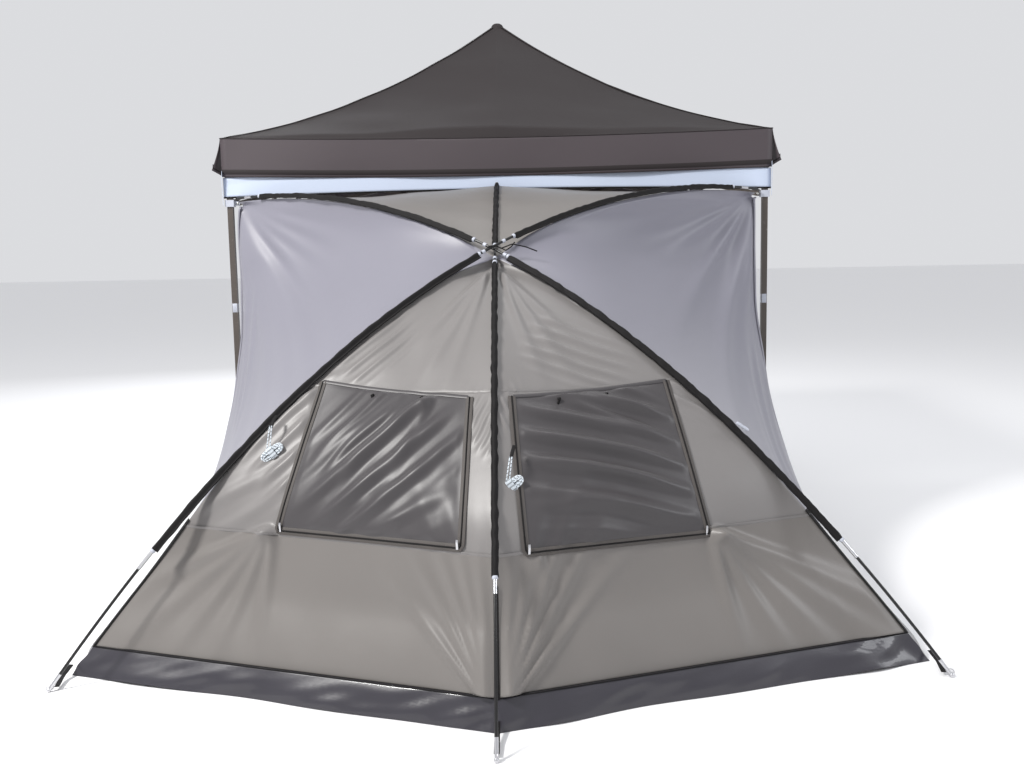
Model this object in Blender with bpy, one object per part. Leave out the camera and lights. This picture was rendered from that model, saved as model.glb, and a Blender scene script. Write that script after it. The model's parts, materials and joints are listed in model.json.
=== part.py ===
"""Pop-up gazebo with a dome tent hooked onto its front.

Metres, +Z up. The origin is on the ground, under the middle of the whole outline. The tent is on the -Y side and
the gazebo on the +Y side. The gazebo frame is drawn open and locked, with its scissor trusses spread.
"""

import math

import bmesh
import bpy
import numpy as np
from mathutils import Vector

# ---- gazebo frame -------------------------------------------------------------------------------------------------
SPAN = 2.87  # between leg centres, along X and along Y
TRUSS_TOP_Z = 2.235  # upper pivots of every scissor
TRUSS_DROP = 0.29  # from the upper pivots to the lower ones when open
ARM = 0.04  # from a leg, knuckle or hub centre to its pivot
BAR_WIDTH = 0.025
BAR_THICK = 0.012
TAB_THICK = 0.004
TAB_GAP = 0.0015  # between a tab and the bar beside it
TAB_RADIUS = 0.012
BLOCK_HIGH = 0.036
OUTER_LEG = 0.030  # side of the square outer tube
OUTER_WALL = 0.0015
OUTER_LEG_BOTTOM = 0.62
LEG_CLEARANCE = 0.00075  # all round the inner tube
INNER_LEG = OUTER_LEG - 2 * OUTER_WALL - 2 * LEG_CLEARANCE
INNER_LEG_TOP = 1.20
SLIDER_WALL = 0.008
SLIDER = OUTER_LEG + 2 * SLIDER_WALL
BLOCK_WALL = 0.005
BLOCK = OUTER_LEG + 2 * BLOCK_WALL  # side of a knuckle, hub or leg bracket
SLIDER_CLEARANCE = 0.0006
FOOT_PLATE = 0.075
FOOT_PLATE_THICK = 0.004
MAST_RADIUS = 0.0125
MAST_CAP_RADIUS = 0.026
MAST_CAP_HIGH = 0.022

# ---- canopy -------------------------------------------------------------------------------------------------------
PEAK_Z = 3.125
EAVE_Z = 2.285
EAVE_OUT = 0.033  # the eave stands this far outside the leg centres
VALANCE_DROP = 0.20
CANOPY_THICK = 0.003
SEAM_GAP = 0.0012  # between two canopy faces along a hip
ROOF_LINEAR = 0.48  # the roof rises as linear * v + (1 - linear) * v * v, so its hips sag
CAP_OPENING = 0.034  # the faces stop this far from the mast's axis

# ---- tent ---------------------------------------------------------------------------------------------------------
FOOT_SIDE_X = 1.76  # tips of the two side poles
FOOT_SIDE_REACH = 1.91  # how far they stand in front of the gazebo's front legs
FOOT_NEAR_REACH = 2.57  # tip of the middle pole
POLE_RADIUS = 0.0062
POLE_TOP_X = 1.385
POLE_TOP_Z = 1.968
POLE_TOP_BACK = 0.05  # pole tops stay this far in front of the leg centres
POLE_BULGE = 0.585  # how far the arch stands off its chord
POLE_SKEW = 0.3
POLE_STACK = 0.018  # between the centres of poles where they cross
MIDDLE_POLE_TOP_Z = 2.025
FABRIC_THICK = 0.003
FABRIC_STANDOFF = 0.016  # from the middle pole to the fabric below the crossing
CORNER_SIDE_X = 1.735  # corners of the floor
CORNER_SIDE_REACH = 1.74
CORNER_NEAR_REACH = 2.35
CORNER_REAR_X = 1.79
REAR_PLANE = 0.068  # the tent's back edge, in front of the leg centres
FABRIC_TOP_X = 1.365
FABRIC_TOP_Z = 1.925
FABRIC_RIDGE_Z = 1.992
REAR_FLARE = 2.4  # how sharply the back edge flares out towards the ground
TUB_HIGH = 0.11
TUB_WALL = 0.004
TUB_FLOOR = 0.004
TUB_GAP = 0.004  # from the tub's rim up to the walls
BACK_WALL_GAP = 0.005  # from the tent's back edge to its back wall
BACK_WALL_THICK = 0.003
DOOR_WIDTH = 0.92
DOOR_BOTTOM = 0.16
DOOR_TOP = 1.66
DOOR_CLEARANCE = 0.004
HANK_LONG = 0.115
HANK_WIDE = 0.042
HANK_THICK = 0.02
HANK_TILT = math.radians(36)  # above the level, towards +X
HANK_NECK_WIDE = 0.016  # the two strands that it hangs from
HANK_NECK_LONG = 0.12
HANK_LEFT = (-0.905, -1.64, 0.885)  # the middle of each hank; its Y is counted from the front legs
HANK_MIDDLE = (0.062, -2.0, 0.81)

# ---- derived ------------------------------------------------------------------------------------------------------
HALF = SPAN / 2
REACH = HALF - 2 * ARM  # level distance between the pivots of one scissor
BAR_LENGTH = math.hypot(REACH, TRUSS_DROP)
BAR_OFFSET = TAB_THICK / 2 + TAB_GAP + BAR_THICK / 2
TRUSS_LOW_Z = TRUSS_TOP_Z - TRUSS_DROP
EAVE_HALF = HALF + EAVE_OUT
NEAR_TIP = FOOT_NEAR_REACH + POLE_RADIUS
FRONT_Y = (NEAR_TIP - HALF - EAVE_HALF) / 2  # the front legs; the outline is centred on the origin
MIDDLE_Y = FRONT_Y + HALF

SIDES = {"front": (0, -1), "right": (1, 0), "rear": (0, 1), "left": (-1, 0)}
CORNERS = {"front_left": (-1, -1), "front_right": (1, -1), "rear_left": (-1, 1), "rear_right": (1, 1)}


# ---- helpers ------------------------------------------------------------------------------------------------------
def srgb(code):
    """A hex colour as the linear values that a shader takes."""
    parts = [int(code[i : i + 2], 16) / 255 for i in (1, 3, 5)]
    return [c / 12.92 if c <= 0.04045 else ((c + 0.055) / 1.055) ** 2.4 for c in parts] + [1]


def material(name, colour, roughness, metallic=0.0):
    made = bpy.data.materials.get(name) or bpy.data.materials.new(name)
    made.use_nodes = True
    shader = made.node_tree.nodes["Principled BSDF"]
    shader.inputs["Base Color"].default_value = srgb(colour)
    shader.inputs["Roughness"].default_value = roughness
    shader.inputs["Metallic"].default_value = metallic
    return made


def add_object(name, mesh, finish):
    made = bpy.data.objects.new(name, mesh)
    bpy.context.scene.collection.objects.link(made)
    mesh.materials.append(finish)
    return made


def from_bmesh(name, bm, finish, smooth=False):
    bmesh.ops.recalc_face_normals(bm, faces=bm.faces)
    mesh = bpy.data.meshes.new(name)
    bm.to_mesh(mesh)
    bm.free()
    if smooth:
        mesh.shade_smooth()
        mesh.set_sharp_from_angle(angle=math.radians(40))
    return add_object(name, mesh, finish)


def box_into(bm, low, high):
    made = bmesh.ops.create_cube(bm, size=1)["verts"]
    low, high = Vector(low), Vector(high)
    for vert in made:
        vert.co = Vector(low[i] + (vert.co[i] + 0.5) * (high[i] - low[i]) for i in range(3))


def prism_into(bm, outline, across, thick):
    """A flat outline, given as 3-D points, made thick evenly about its plane along the unit vector across."""
    shift = Vector(across) * thick / 2
    rings = [[bm.verts.new(Vector(p) + sign * shift) for p in outline] for sign in (-1, 1)]
    bm.faces.new(rings[0])
    bm.faces.new(rings[1])
    for i in range(len(outline)):
        j = (i + 1) % len(outline)
        bm.faces.new((rings[0][i], rings[0][j], rings[1][j], rings[1][i]))


def union(base, names):
    """Joins helper solids into a base object with Boolean unions."""
    for name in names:
        helper = bpy.data.objects[name]
        helper.hide_render = True
        helper.display_type = "WIRE"
        modifier = base.modifiers.new("join " + name, "BOOLEAN")
        modifier.operation = "UNION"
        modifier.object = helper


def turn_axis(direction):
    """The level axis about which a positive turn swings something that points along direction downwards."""
    return (-direction[1], direction[0], 0)


def centre_of(side, along=None):
    """The middle of a knuckle or, with a direction along the side, the leg at that end of it."""
    x, y = SIDES[side]
    if along:
        x, y = x + along[0], y + along[1]
    return Vector((x * HALF, MIDDLE_Y + y * HALF, 0))


# ---- frame pieces -------------------------------------------------------------------------------------------------
def bar(name, start, end, across, finish):
    """A flat bar with round ends between two pivots, in the plane whose normal is across."""
    start, end, across = Vector(start), Vector(end), Vector(across)
    along = (end - start).normalized()
    up = across.cross(along)
    steps = 6
    outline = []
    for centre, first in ((end, -math.pi / 2), (start, math.pi / 2)):
        for k in range(steps + 1):
            a = first + math.pi * k / steps
            outline.append(centre + BAR_WIDTH / 2 * (math.cos(a) * along + math.sin(a) * up))
    bm = bmesh.new()
    prism_into(bm, outline, across, BAR_THICK)
    return from_bmesh(name, bm, finish)


def tab_object(name, centre, direction, z, finish):
    """A rounded ear in the vertical plane through direction, out to the pivot."""
    direction = Vector((direction[0], direction[1], 0))
    pivot = Vector((centre.x, centre.y, z)) + direction * ARM
    root = Vector((centre.x, centre.y, z)) + direction * (BLOCK / 4)
    outline = [root - Vector((0, 0, TAB_RADIUS)), pivot - Vector((0, 0, TAB_RADIUS))]
    for k in range(1, 6):
        a = -math.pi / 2 + math.pi * k / 6
        outline.append(pivot + TAB_RADIUS * (math.cos(a) * direction + math.sin(a) * Vector((0, 0, 1))))
    outline += [pivot + Vector((0, 0, TAB_RADIUS)), root + Vector((0, 0, TAB_RADIUS))]
    bm = bmesh.new()
    prism_into(bm, outline, turn_axis(direction), TAB_THICK)
    return from_bmesh(name, bm, finish)


def knuckle(name, centre, z, directions, finish, side=BLOCK):
    bm = bmesh.new()
    box_into(
        bm,
        (centre.x - side / 2, centre.y - side / 2, z - BLOCK_HIGH / 2),
        (centre.x + side / 2, centre.y + side / 2, z + BLOCK_HIGH / 2),
    )
    body = from_bmesh(name, bm, finish)
    ears = [f"{name}_ear_{i}" for i in range(len(directions))]
    for ear, direction in zip(ears, directions):
        tab_object(ear, centre, direction, z, finish)
    union(body, ears)
    return body


def square_tube_into(bm, centre, outer, inner, low, high):
    """An open square tube: four rings of four corners."""
    rings = []
    for half, z in ((outer / 2, low), (outer / 2, high), (inner / 2, high), (inner / 2, low)):
        ring = [(-half, -half), (half, -half), (half, half), (-half, half)]
        rings.append([bm.verts.new((centre.x + x, centre.y + y, z)) for x, y in ring])
    for k in range(4):
        a, b = rings[k], rings[(k + 1) % 4]
        for i in range(4):
            j = (i + 1) % 4
            bm.faces.new((a[i], a[j], b[j], b[i]))


def legs(steel, plastic):
    for corner, (x, y) in CORNERS.items():
        centre = Vector((x * HALF, MIDDLE_Y + y * HALF, 0))
        bracket = f"bracket_{corner}"
        knuckle(bracket, centre, TRUSS_TOP_Z, [(-x, 0), (0, -y)], plastic)
        bm = bmesh.new()
        tube_top = TRUSS_TOP_Z - BLOCK_HIGH / 4
        square_tube_into(bm, centre, OUTER_LEG, OUTER_LEG - 2 * OUTER_WALL, OUTER_LEG_BOTTOM, tube_top)
        outer = from_bmesh(f"leg_outer_{corner}", bm, steel)
        union(outer, [bracket])

        bm = bmesh.new()
        half = INNER_LEG / 2
        plate = FOOT_PLATE / 2
        box_into(bm, (centre.x - half, centre.y - half, FOOT_PLATE_THICK / 2), (centre.x + half, centre.y + half, INNER_LEG_TOP))
        inner = from_bmesh(f"leg_inner_{corner}", bm, steel)
        bm = bmesh.new()
        box_into(bm, (centre.x - plate, centre.y - plate, 0), (centre.x + plate, centre.y + plate, FOOT_PLATE_THICK))
        from_bmesh(f"foot_plate_{corner}", bm, steel)
        union(inner, [f"foot_plate_{corner}"])

        bm = bmesh.new()
        hole = OUTER_LEG + 2 * SLIDER_CLEARANCE
        low, high = TRUSS_LOW_Z - BLOCK_HIGH / 2, TRUSS_LOW_Z + BLOCK_HIGH / 2
        square_tube_into(bm, centre, SLIDER, hole, low, high)
        slider = from_bmesh(f"slider_{corner}", bm, plastic)
        ears = []
        for i, direction in enumerate([(-x, 0), (0, -y)]):
            ears.append(f"slider_{corner}_ear_{i}")
            slider_ear(ears[-1], centre, direction, plastic)
        union(slider, ears)


def slider_ear(name, centre, direction, finish):
    """A slider's ear starts inside its wall and not in its hole."""
    direction = Vector((direction[0], direction[1], 0))
    start = centre + direction * (OUTER_LEG / 2 + 2 * SLIDER_CLEARANCE + 0.001) + Vector((0, 0, TRUSS_LOW_Z))
    pivot = centre + direction * ARM + Vector((0, 0, TRUSS_LOW_Z))
    up = Vector((0, 0, TAB_RADIUS))
    outline = [start - up, pivot - up]
    for k in range(1, 6):
        a = -math.pi / 2 + math.pi * k / 6
        outline.append(pivot + TAB_RADIUS * math.cos(a) * direction + up * math.sin(a))
    outline += [pivot + up, start + up]
    bm = bmesh.new()
    prism_into(bm, outline, turn_axis(direction), TAB_THICK)
    return from_bmesh(name, bm, finish)


def scissor(prefix, inner, outer, direction, inner_high, finish):
    """Two crossing bars between two centres. Bar a starts at the inner centre's upper pivot if inner_high is true."""
    step = Vector((direction[0], direction[1], 0)) * ARM
    across = Vector(turn_axis(direction))
    for label, sign, high_first in (("a", 1, inner_high), ("b", -1, not inner_high)):
        start_z, end_z = (TRUSS_TOP_Z, TRUSS_LOW_Z) if high_first else (TRUSS_LOW_Z, TRUSS_TOP_Z)
        shift = across * BAR_OFFSET * sign
        start = inner + step + shift + Vector((0, 0, start_z))
        end = outer - step + shift + Vector((0, 0, end_z))
        bar(f"{prefix}_{label}", start, end, across, finish)


def trusses(steel, plastic):
    hub = Vector((0, MIDDLE_Y, 0))
    for side, out in SIDES.items():
        middle = centre_of(side)
        ends = [(out[1], out[0]), (-out[1], -out[0])]
        scissor(f"roof_bar_{side}", hub, middle, out, True, steel)
        for along in ends:
            scissor(f"truss_{side}_{end_name(side, along)}", middle, centre_of(side, along), along, False, steel)
        inward = (-out[0], -out[1])
        knuckle(f"knuckle_top_{side}", middle, TRUSS_TOP_Z, ends + [inward], plastic)
        knuckle(f"knuckle_low_{side}", middle, TRUSS_LOW_Z, ends + [inward], plastic)
    knuckle("hub_low", hub, TRUSS_LOW_Z, list(SIDES.values()), plastic)


def end_name(side, along):
    """The name of the end of a side that along points to: left or right, front or rear."""
    return {(0, -1): "front", (1, 0): "right", (0, 1): "rear", (-1, 0): "left"}[along]


def hub_and_mast(steel, plastic):
    hub = Vector((0, MIDDLE_Y, 0))
    knuckle("hub_top", hub, TRUSS_TOP_Z, list(SIDES.values()), plastic)
    foot_z = TRUSS_TOP_Z + BLOCK_HIGH / 2 + 0.0005
    cap_top = PEAK_Z - CANOPY_THICK
    profile = [
        (0, foot_z),
        (MAST_RADIUS, foot_z),
        (MAST_RADIUS, cap_top - MAST_CAP_HIGH),
        (MAST_CAP_RADIUS, cap_top - MAST_CAP_HIGH * 0.6),
        (MAST_CAP_RADIUS * 0.8, cap_top - MAST_CAP_HIGH * 0.2),
        (0, cap_top),
    ]
    turned("peak_mast", profile, hub, steel)


def turned(name, profile, centre, finish, steps=20):
    """A solid of revolution about the vertical line through centre; the profile's ends are on the axis."""
    bm = bmesh.new()
    bottom = bm.verts.new((centre.x, centre.y, profile[0][1]))
    top = bm.verts.new((centre.x, centre.y, profile[-1][1]))
    rings = []
    for radius, z in profile[1:-1]:
        angles = [2 * math.pi * k / steps for k in range(steps)]
        rings.append([bm.verts.new((centre.x + radius * math.cos(a), centre.y + radius * math.sin(a), z)) for a in angles])
    for i in range(steps):
        j = (i + 1) % steps
        bm.faces.new((bottom, rings[0][j], rings[0][i]))
        bm.faces.new((top, rings[-1][i], rings[-1][j]))
        for a, b in zip(rings, rings[1:]):
            bm.faces.new((a[i], a[j], b[j], b[i]))
    return from_bmesh(name, bm, finish, smooth=True)


# ---- surfaces -----------------------------------------------------------------------------------------------------
def sheet_solid(name, grid, thick, finish, inward):
    """A closed sheet: a grid of points, and the same grid moved by thick along the inward vectors."""
    rows, columns = grid.shape[:2]
    layers = [grid, grid + thick * inward]
    bm = bmesh.new()
    verts = [[[bm.verts.new(layer[r, c]) for c in range(columns)] for r in range(rows)] for layer in layers]
    for layer in verts:
        for r in range(rows - 1):
            for c in range(columns - 1):
                bm.faces.new((layer[r][c], layer[r + 1][c], layer[r + 1][c + 1], layer[r][c + 1]))
    edge = [(r, 0) for r in range(rows)] + [(rows - 1, c) for c in range(1, columns)]
    edge += [(r, columns - 1) for r in range(rows - 2, -1, -1)] + [(0, c) for c in range(columns - 2, 0, -1)]
    for (r, c), (s, d) in zip(edge, edge[1:] + edge[:1]):
        bm.faces.new((verts[0][r][c], verts[0][s][d], verts[1][s][d], verts[1][r][c]))
    return from_bmesh(name, bm, finish, smooth=True)


def grid_normals(grid):
    """Unit normals of a grid of points, from its central differences."""
    normal = np.cross(np.gradient(grid, axis=0), np.gradient(grid, axis=1))
    return normal / np.linalg.norm(normal, axis=2, keepdims=True)


def canopy(fabric):
    """Four roof faces, each with its valance. A face narrows towards the peak in step with its distance from it."""
    rise = PEAK_Z - EAVE_Z
    far = 1 - CAP_OPENING / EAVE_HALF
    for side, out in SIDES.items():
        v = np.linspace(0, far, 9)
        reach = EAVE_HALF * (1 - v)
        height = EAVE_Z + rise * (ROOF_LINEAR * v + (1 - ROOF_LINEAR) * v * v)
        reach = np.concatenate([[EAVE_HALF, EAVE_HALF], reach])
        height = np.concatenate([[EAVE_Z - VALANCE_DROP, EAVE_Z - VALANCE_DROP / 2], height])
        across = np.linspace(-1, 1, 3)
        half = reach - CANOPY_THICK - SEAM_GAP
        along = np.array([-out[1], out[0], 0])
        outward = np.array([out[0], out[1], 0])
        grid = np.array([0, MIDDLE_Y, 0]) + reach[:, None, None] * outward
        grid = grid + (half[:, None] * across)[:, :, None] * along
        grid = grid + height[:, None, None] * np.array([0, 0, 1])
        inward = -grid_normals(grid)
        inward *= np.sign((inward @ -outward)[0, 0] + 1e-9)
        sheet_solid(f"canopy_{side}", grid, CANOPY_THICK, fabric, inward)


# ---- tent ---------------------------------------------------------------------------------------------------------
def arch(foot, top, bulge, skew, out, t):
    """An arched pole: its chord plus a parabola, leaning towards its top by skew, along the unit vector out."""
    t = np.asarray(t, float)[:, None]
    lift = 4 * t * (1 - t) * (1 + skew * (t - 0.5))
    return foot + t * (top - foot) + bulge * lift * out


def side_arch(foot, top, bulge, t, mirror):
    """The arch from a left foot to the right top, or its mirror image. It bulges forwards and up, square to its chord."""
    foot, top = np.array(foot, float), np.array(top, float)
    chord = (top - foot) / np.linalg.norm(top - foot)
    lean = np.array([-0.30, -0.45, 0.84])
    out = lean - (lean @ chord) * chord
    points = arch(foot, top, bulge, POLE_SKEW, out / np.linalg.norm(out), t)
    return points * np.array([-1, 1, 1]) if mirror else points


def middle_arch(foot, top, through, t):
    """The arch in the middle plane from foot to top that passes through a given point."""
    foot, top, through = (np.array(p, float) for p in (foot, top, through))
    length = np.linalg.norm(top - foot)
    chord = (top - foot) / length
    at = (through - foot) @ chord / length
    stand = (through - foot) - at * length * chord
    bulge = np.linalg.norm(stand) / (4 * at * (1 - at))
    return arch(foot, top, bulge, 0, stand / np.linalg.norm(stand), t)


def crossing(points):
    """Where an arch passes the middle plane."""
    k = int(np.argmax(points[:, 0] > 0)) if points[0, 0] < 0 else int(np.argmax(points[:, 0] < 0))
    a, b = points[k - 1], points[k]
    return a + (b - a) * (-a[0] / (b[0] - a[0]))


def pole_foot(x, reach):
    return np.array([x, FRONT_Y - reach, POLE_RADIUS])


def pole_curve(name, points, finish):
    curve = bpy.data.curves.new(name, "CURVE")
    curve.dimensions = "3D"
    curve.bevel_depth = POLE_RADIUS
    curve.bevel_resolution = 2
    curve.use_fill_caps = True
    spline = curve.splines.new("POLY")
    spline.points.add(len(points) - 1)
    for point, place in zip(spline.points, points):
        point.co = (*place, 1)
    made = bpy.data.objects.new(name, curve)
    bpy.context.scene.collection.objects.link(made)
    curve.materials.append(finish)
    return made


POLE_STEPS = np.linspace(0, 1, 41)
POLE_TOP = np.array([POLE_TOP_X, FRONT_Y - POLE_TOP_BACK, POLE_TOP_Z])
FABRIC_TOP = np.array([FABRIC_TOP_X, FRONT_Y - REAR_PLANE, FABRIC_TOP_Z])


def fabric_arch(t, mirror):
    """The fabric's edge under a side pole."""
    foot = np.array([-CORNER_SIDE_X, FRONT_Y - CORNER_SIDE_REACH, 0])
    bulge = POLE_BULGE - 2 * POLE_STACK - FABRIC_STANDOFF
    return side_arch(foot, FABRIC_TOP, bulge, t, mirror)


def fabric_middle(t):
    """The fabric's edge under the middle pole, through the point where the side edges cross."""
    cross = crossing(fabric_arch(POLE_STEPS, False))
    top = np.array([0, FRONT_Y - REAR_PLANE, FABRIC_RIDGE_Z])
    return middle_arch((0, FRONT_Y - CORNER_NEAR_REACH, 0), top, cross, t)


def tent_poles(finish):
    foot = pole_foot(-FOOT_SIDE_X, FOOT_SIDE_REACH)
    pole_curve("tent_pole_left", side_arch(foot, POLE_TOP, POLE_BULGE, POLE_STEPS, False), finish)
    lower = POLE_BULGE - POLE_STACK
    pole_curve("tent_pole_right", side_arch(foot, POLE_TOP, lower, POLE_STEPS, True), finish)
    under = side_arch(foot, POLE_TOP, POLE_BULGE - 2 * POLE_STACK, POLE_STEPS, False)
    top = (0, FRONT_Y - POLE_TOP_BACK, MIDDLE_POLE_TOP_Z)
    middle = middle_arch(pole_foot(0, FOOT_NEAR_REACH), top, crossing(under), POLE_STEPS)
    pole_curve("tent_pole_middle", middle, finish)


def at_heights(points, heights):
    """A curve's points at given heights, for a curve that only rises."""
    return np.stack([np.interp(heights, points[:, 2], points[:, i]) for i in range(3)], -1)


def rear_edge(heights):
    """The tent's back edge: straight down from the leg's top, then flaring out to the ground."""
    drop = 1 - heights / FABRIC_TOP_Z
    x = FABRIC_TOP_X + (CORNER_REAR_X - FABRIC_TOP_X) * drop**REAR_FLARE
    return np.stack([x, np.full_like(x, FRONT_Y - REAR_PLANE), heights], -1)


def split_arch(points):
    """The two halves of an arch, on each side of the crossing, each ending at it."""
    cross = crossing(points)
    below = points[points[:, 2] < cross[2] - 1e-6]
    below = below[below[:, 0] * points[0, 0] > 0]
    above = points[points[:, 0] * points[0, 0] < -1e-9]
    return np.vstack([below, cross]), np.vstack([cross, above])


def resample(points, count):
    """A curve's points at even steps along it."""
    step = np.linalg.norm(np.diff(points, axis=0), axis=1)
    along = np.concatenate([[0], np.cumsum(step)])
    want = np.linspace(0, along[-1], count)
    return np.stack([np.interp(want, along, points[:, i]) for i in range(3)], -1)


def tent_shell(fabric):
    """The tent's outer skin as one sheet over the poles: six panels that meet where the poles cross."""
    rows, columns = 9, 5
    t = np.linspace(0, 1, 161)
    low_z = TUB_HIGH + TUB_GAP
    left_low, right_high = split_arch(fabric_arch(t, False))
    right_low, left_high = split_arch(fabric_arch(t, True))
    cross = left_low[-1]
    middle = fabric_middle(t)
    below = middle[middle[:, 1] < cross[1] - 1e-6]
    above = middle[middle[:, 1] > cross[1] + 1e-6]
    below, above = np.vstack([below, cross]), np.vstack([cross, above])
    heights = np.linspace(low_z, cross[2], rows)
    mirror = np.array([-1, 1, 1])
    bm = bmesh.new()
    cache = {}

    def vertex(point):
        key = tuple(np.round(point, 5))
        if key not in cache:
            cache[key] = bm.verts.new(point)
        return cache[key]

    def panel(first, last, flip):
        """A ruled panel between two edges with as many points each."""
        mix = np.linspace(0, 1, columns)[None, :, None]
        grid = first[:, None, :] * (1 - mix) + last[:, None, :] * mix
        for r in range(len(first) - 1):
            for c in range(columns - 1):
                corners = [grid[r, c], grid[r, c + 1], grid[r + 1, c + 1], grid[r + 1, c]]
                ring = []
                for corner in corners:
                    vert = vertex(corner)
                    if vert not in ring:
                        ring.append(vert)
                if len(ring) > 2:
                    bm.faces.new(ring[::-1] if flip else ring)

    left_edge = at_heights(left_low, heights)
    near_edge = at_heights(below, heights)
    upper = resample(left_high, rows)
    rear_z = np.concatenate([heights, np.linspace(cross[2], FABRIC_TOP_Z, rows)[1:]])
    rear = rear_edge(rear_z) * mirror
    side_front = np.vstack([left_edge, upper[1:]])
    top_edge = resample(above, rows)
    for flip, turn in ((False, np.ones(3)), (True, mirror)):
        panel(left_edge * turn, near_edge * turn, flip)
        panel(rear * turn, side_front * turn, flip)
        panel(upper * turn, top_edge * turn, flip)
    bmesh.ops.recalc_face_normals(bm, faces=bm.faces)
    bm.normal_update()
    highest = max(bm.faces, key=lambda face: face.calc_center_median().z)
    if highest.normal.z < 0:
        bmesh.ops.reverse_faces(bm, faces=bm.faces)
    mesh = bpy.data.meshes.new("tent_shell")
    bm.to_mesh(mesh)
    bm.free()
    made = add_object("tent_shell", mesh, fabric)
    wall = made.modifiers.new("fabric", "SOLIDIFY")
    wall.thickness = FABRIC_THICK
    wall.offset = -1
    return made


def floor_outline(z, inset=0.0):
    """The floor's five corners, each moved towards the middle of the floor by about the inset."""
    left, near = fabric_arch([0, 0.08], False), fabric_middle(np.array([0, 0.08]))
    left = left[0] + (left[1] - left[0]) * (z / left[1, 2])
    near = near[0] + (near[1] - near[0]) * (z / near[1, 2])
    rear = rear_edge(np.array([z]))[0]
    corners = [
        (-rear[0] + inset, rear[1] - inset),
        (left[0] + inset, left[1] + inset * 1.2),
        (0, near[1] + inset * 1.2),
        (-left[0] - inset, left[1] + inset * 1.2),
        (rear[0] - inset, rear[1] - inset),
    ]
    return [(x, y) for x, y in corners]


def tent_floor(finish):
    """A shallow tub: a ground sheet with its walls turned up."""
    bm = bmesh.new()
    loops = []
    for z, inset in ((0, 0), (TUB_HIGH, 0), (TUB_HIGH, TUB_WALL), (TUB_FLOOR, TUB_WALL)):
        loops.append([bm.verts.new((x, y, z)) for x, y in floor_outline(z, inset)])
    for a, b in zip(loops, loops[1:]):
        for i in range(5):
            j = (i + 1) % 5
            bm.faces.new((a[i], a[j], b[j], b[i]))
    bm.faces.new(loops[0])
    bm.faces.new(loops[3])
    return from_bmesh("tent_floor", bm, finish)


def back_wall(fabric, door_fabric):
    """The wall that faces the gazebo, with a doorway, and the door that fills it."""
    behind = FRONT_Y - REAR_PLANE + BACK_WALL_GAP + BACK_WALL_THICK / 2
    heights = np.linspace(TUB_HIGH + TUB_GAP, FABRIC_TOP_Z - 0.01, 9)
    right = [(p[0] - 0.004, behind, p[2]) for p in rear_edge(heights)]
    outline = right + [(0, behind, FABRIC_RIDGE_Z - 0.02)] + [(-x, y, z) for x, y, z in right[::-1]]
    bm = bmesh.new()
    prism_into(bm, outline, (0, 1, 0), BACK_WALL_THICK)
    wall = from_bmesh("tent_back_wall", bm, fabric)
    bm = bmesh.new()
    half = DOOR_WIDTH / 2
    box_into(bm, (-half, behind - 0.05, DOOR_BOTTOM), (half, behind + 0.05, DOOR_TOP))
    cutter = from_bmesh("doorway", bm, fabric)
    cutter.hide_render = True
    cutter.display_type = "WIRE"
    cut = wall.modifiers.new("doorway", "BOOLEAN")
    cut.operation = "DIFFERENCE"
    cut.object = cutter
    bm = bmesh.new()
    inner = half - DOOR_CLEARANCE
    box_into(
        bm,
        (-inner, behind - BACK_WALL_THICK / 2, DOOR_BOTTOM + DOOR_CLEARANCE),
        (inner, behind + BACK_WALL_THICK / 2, DOOR_TOP - DOOR_CLEARANCE),
    )
    from_bmesh("tent_door", bm, door_fabric)


def hank(name, centre, finish):
    """A bundled guy rope: a tilted slot outline made thick, under the two strands that it hangs from."""
    middle = Vector(centre) + Vector((0, FRONT_Y, 0))
    long_way = Vector((math.cos(HANK_TILT), 0, math.sin(HANK_TILT)))
    short_way = Vector((-math.sin(HANK_TILT), 0, math.cos(HANK_TILT)))
    radius = HANK_WIDE / 2
    outline = []
    for end, first in ((1, -math.pi / 2), (-1, math.pi / 2)):
        for k in range(9):
            a = first + math.pi * k / 8
            turn = radius * (math.cos(a) * long_way + math.sin(a) * short_way)
            outline.append(middle + end * (HANK_LONG / 2 - radius) * long_way + turn)
    bm = bmesh.new()
    prism_into(bm, outline, (0, 1, 0), HANK_THICK)
    bundle = from_bmesh(name, bm, finish)
    half, thin = HANK_NECK_WIDE / 2, HANK_THICK / 3
    bm = bmesh.new()
    box_into(bm, middle - Vector((half, thin, 0)), middle + Vector((half, thin, HANK_NECK_LONG)))
    from_bmesh(name + "_strands", bm, finish)
    union(bundle, [name + "_strands"])


def main():
    for old in list(bpy.data.objects):
        bpy.data.objects.remove(old, do_unlink=True)
    steel = material("powder coated steel", "#5A534E", 0.45, 0.3)
    plastic = material("moulded nylon", "#B9BCC4", 0.5)
    roof = material("canopy polyester", "#4A4548", 0.8)
    grey = material("tent polyester", "#9D989B", 0.7)
    dark = material("floor polyethylene", "#3E3B42", 0.5)
    black = material("fibreglass", "#2A2728", 0.4)
    door = material("door fabric", "#8F8B8E", 0.7)
    cord = material("guy cord", "#CFDCE8", 0.8)
    legs(steel, plastic)
    trusses(steel, plastic)
    hub_and_mast(steel, plastic)
    canopy(roof)
    tent_poles(black)
    tent_floor(dark)
    tent_shell(grey)
    back_wall(grey, door)
    hank("guy_hank_left", HANK_LEFT, cord)
    hank("guy_hank_middle", HANK_MIDDLE, cord)


main()
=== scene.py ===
"""Dresses a pop-up gazebo and the dome tent hooked onto its front: fabric, poles, ropes and metal, in
metres."""

import json
import math

import bmesh
import bpy
import numpy as np
from mathutils import Matrix, Vector

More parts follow.
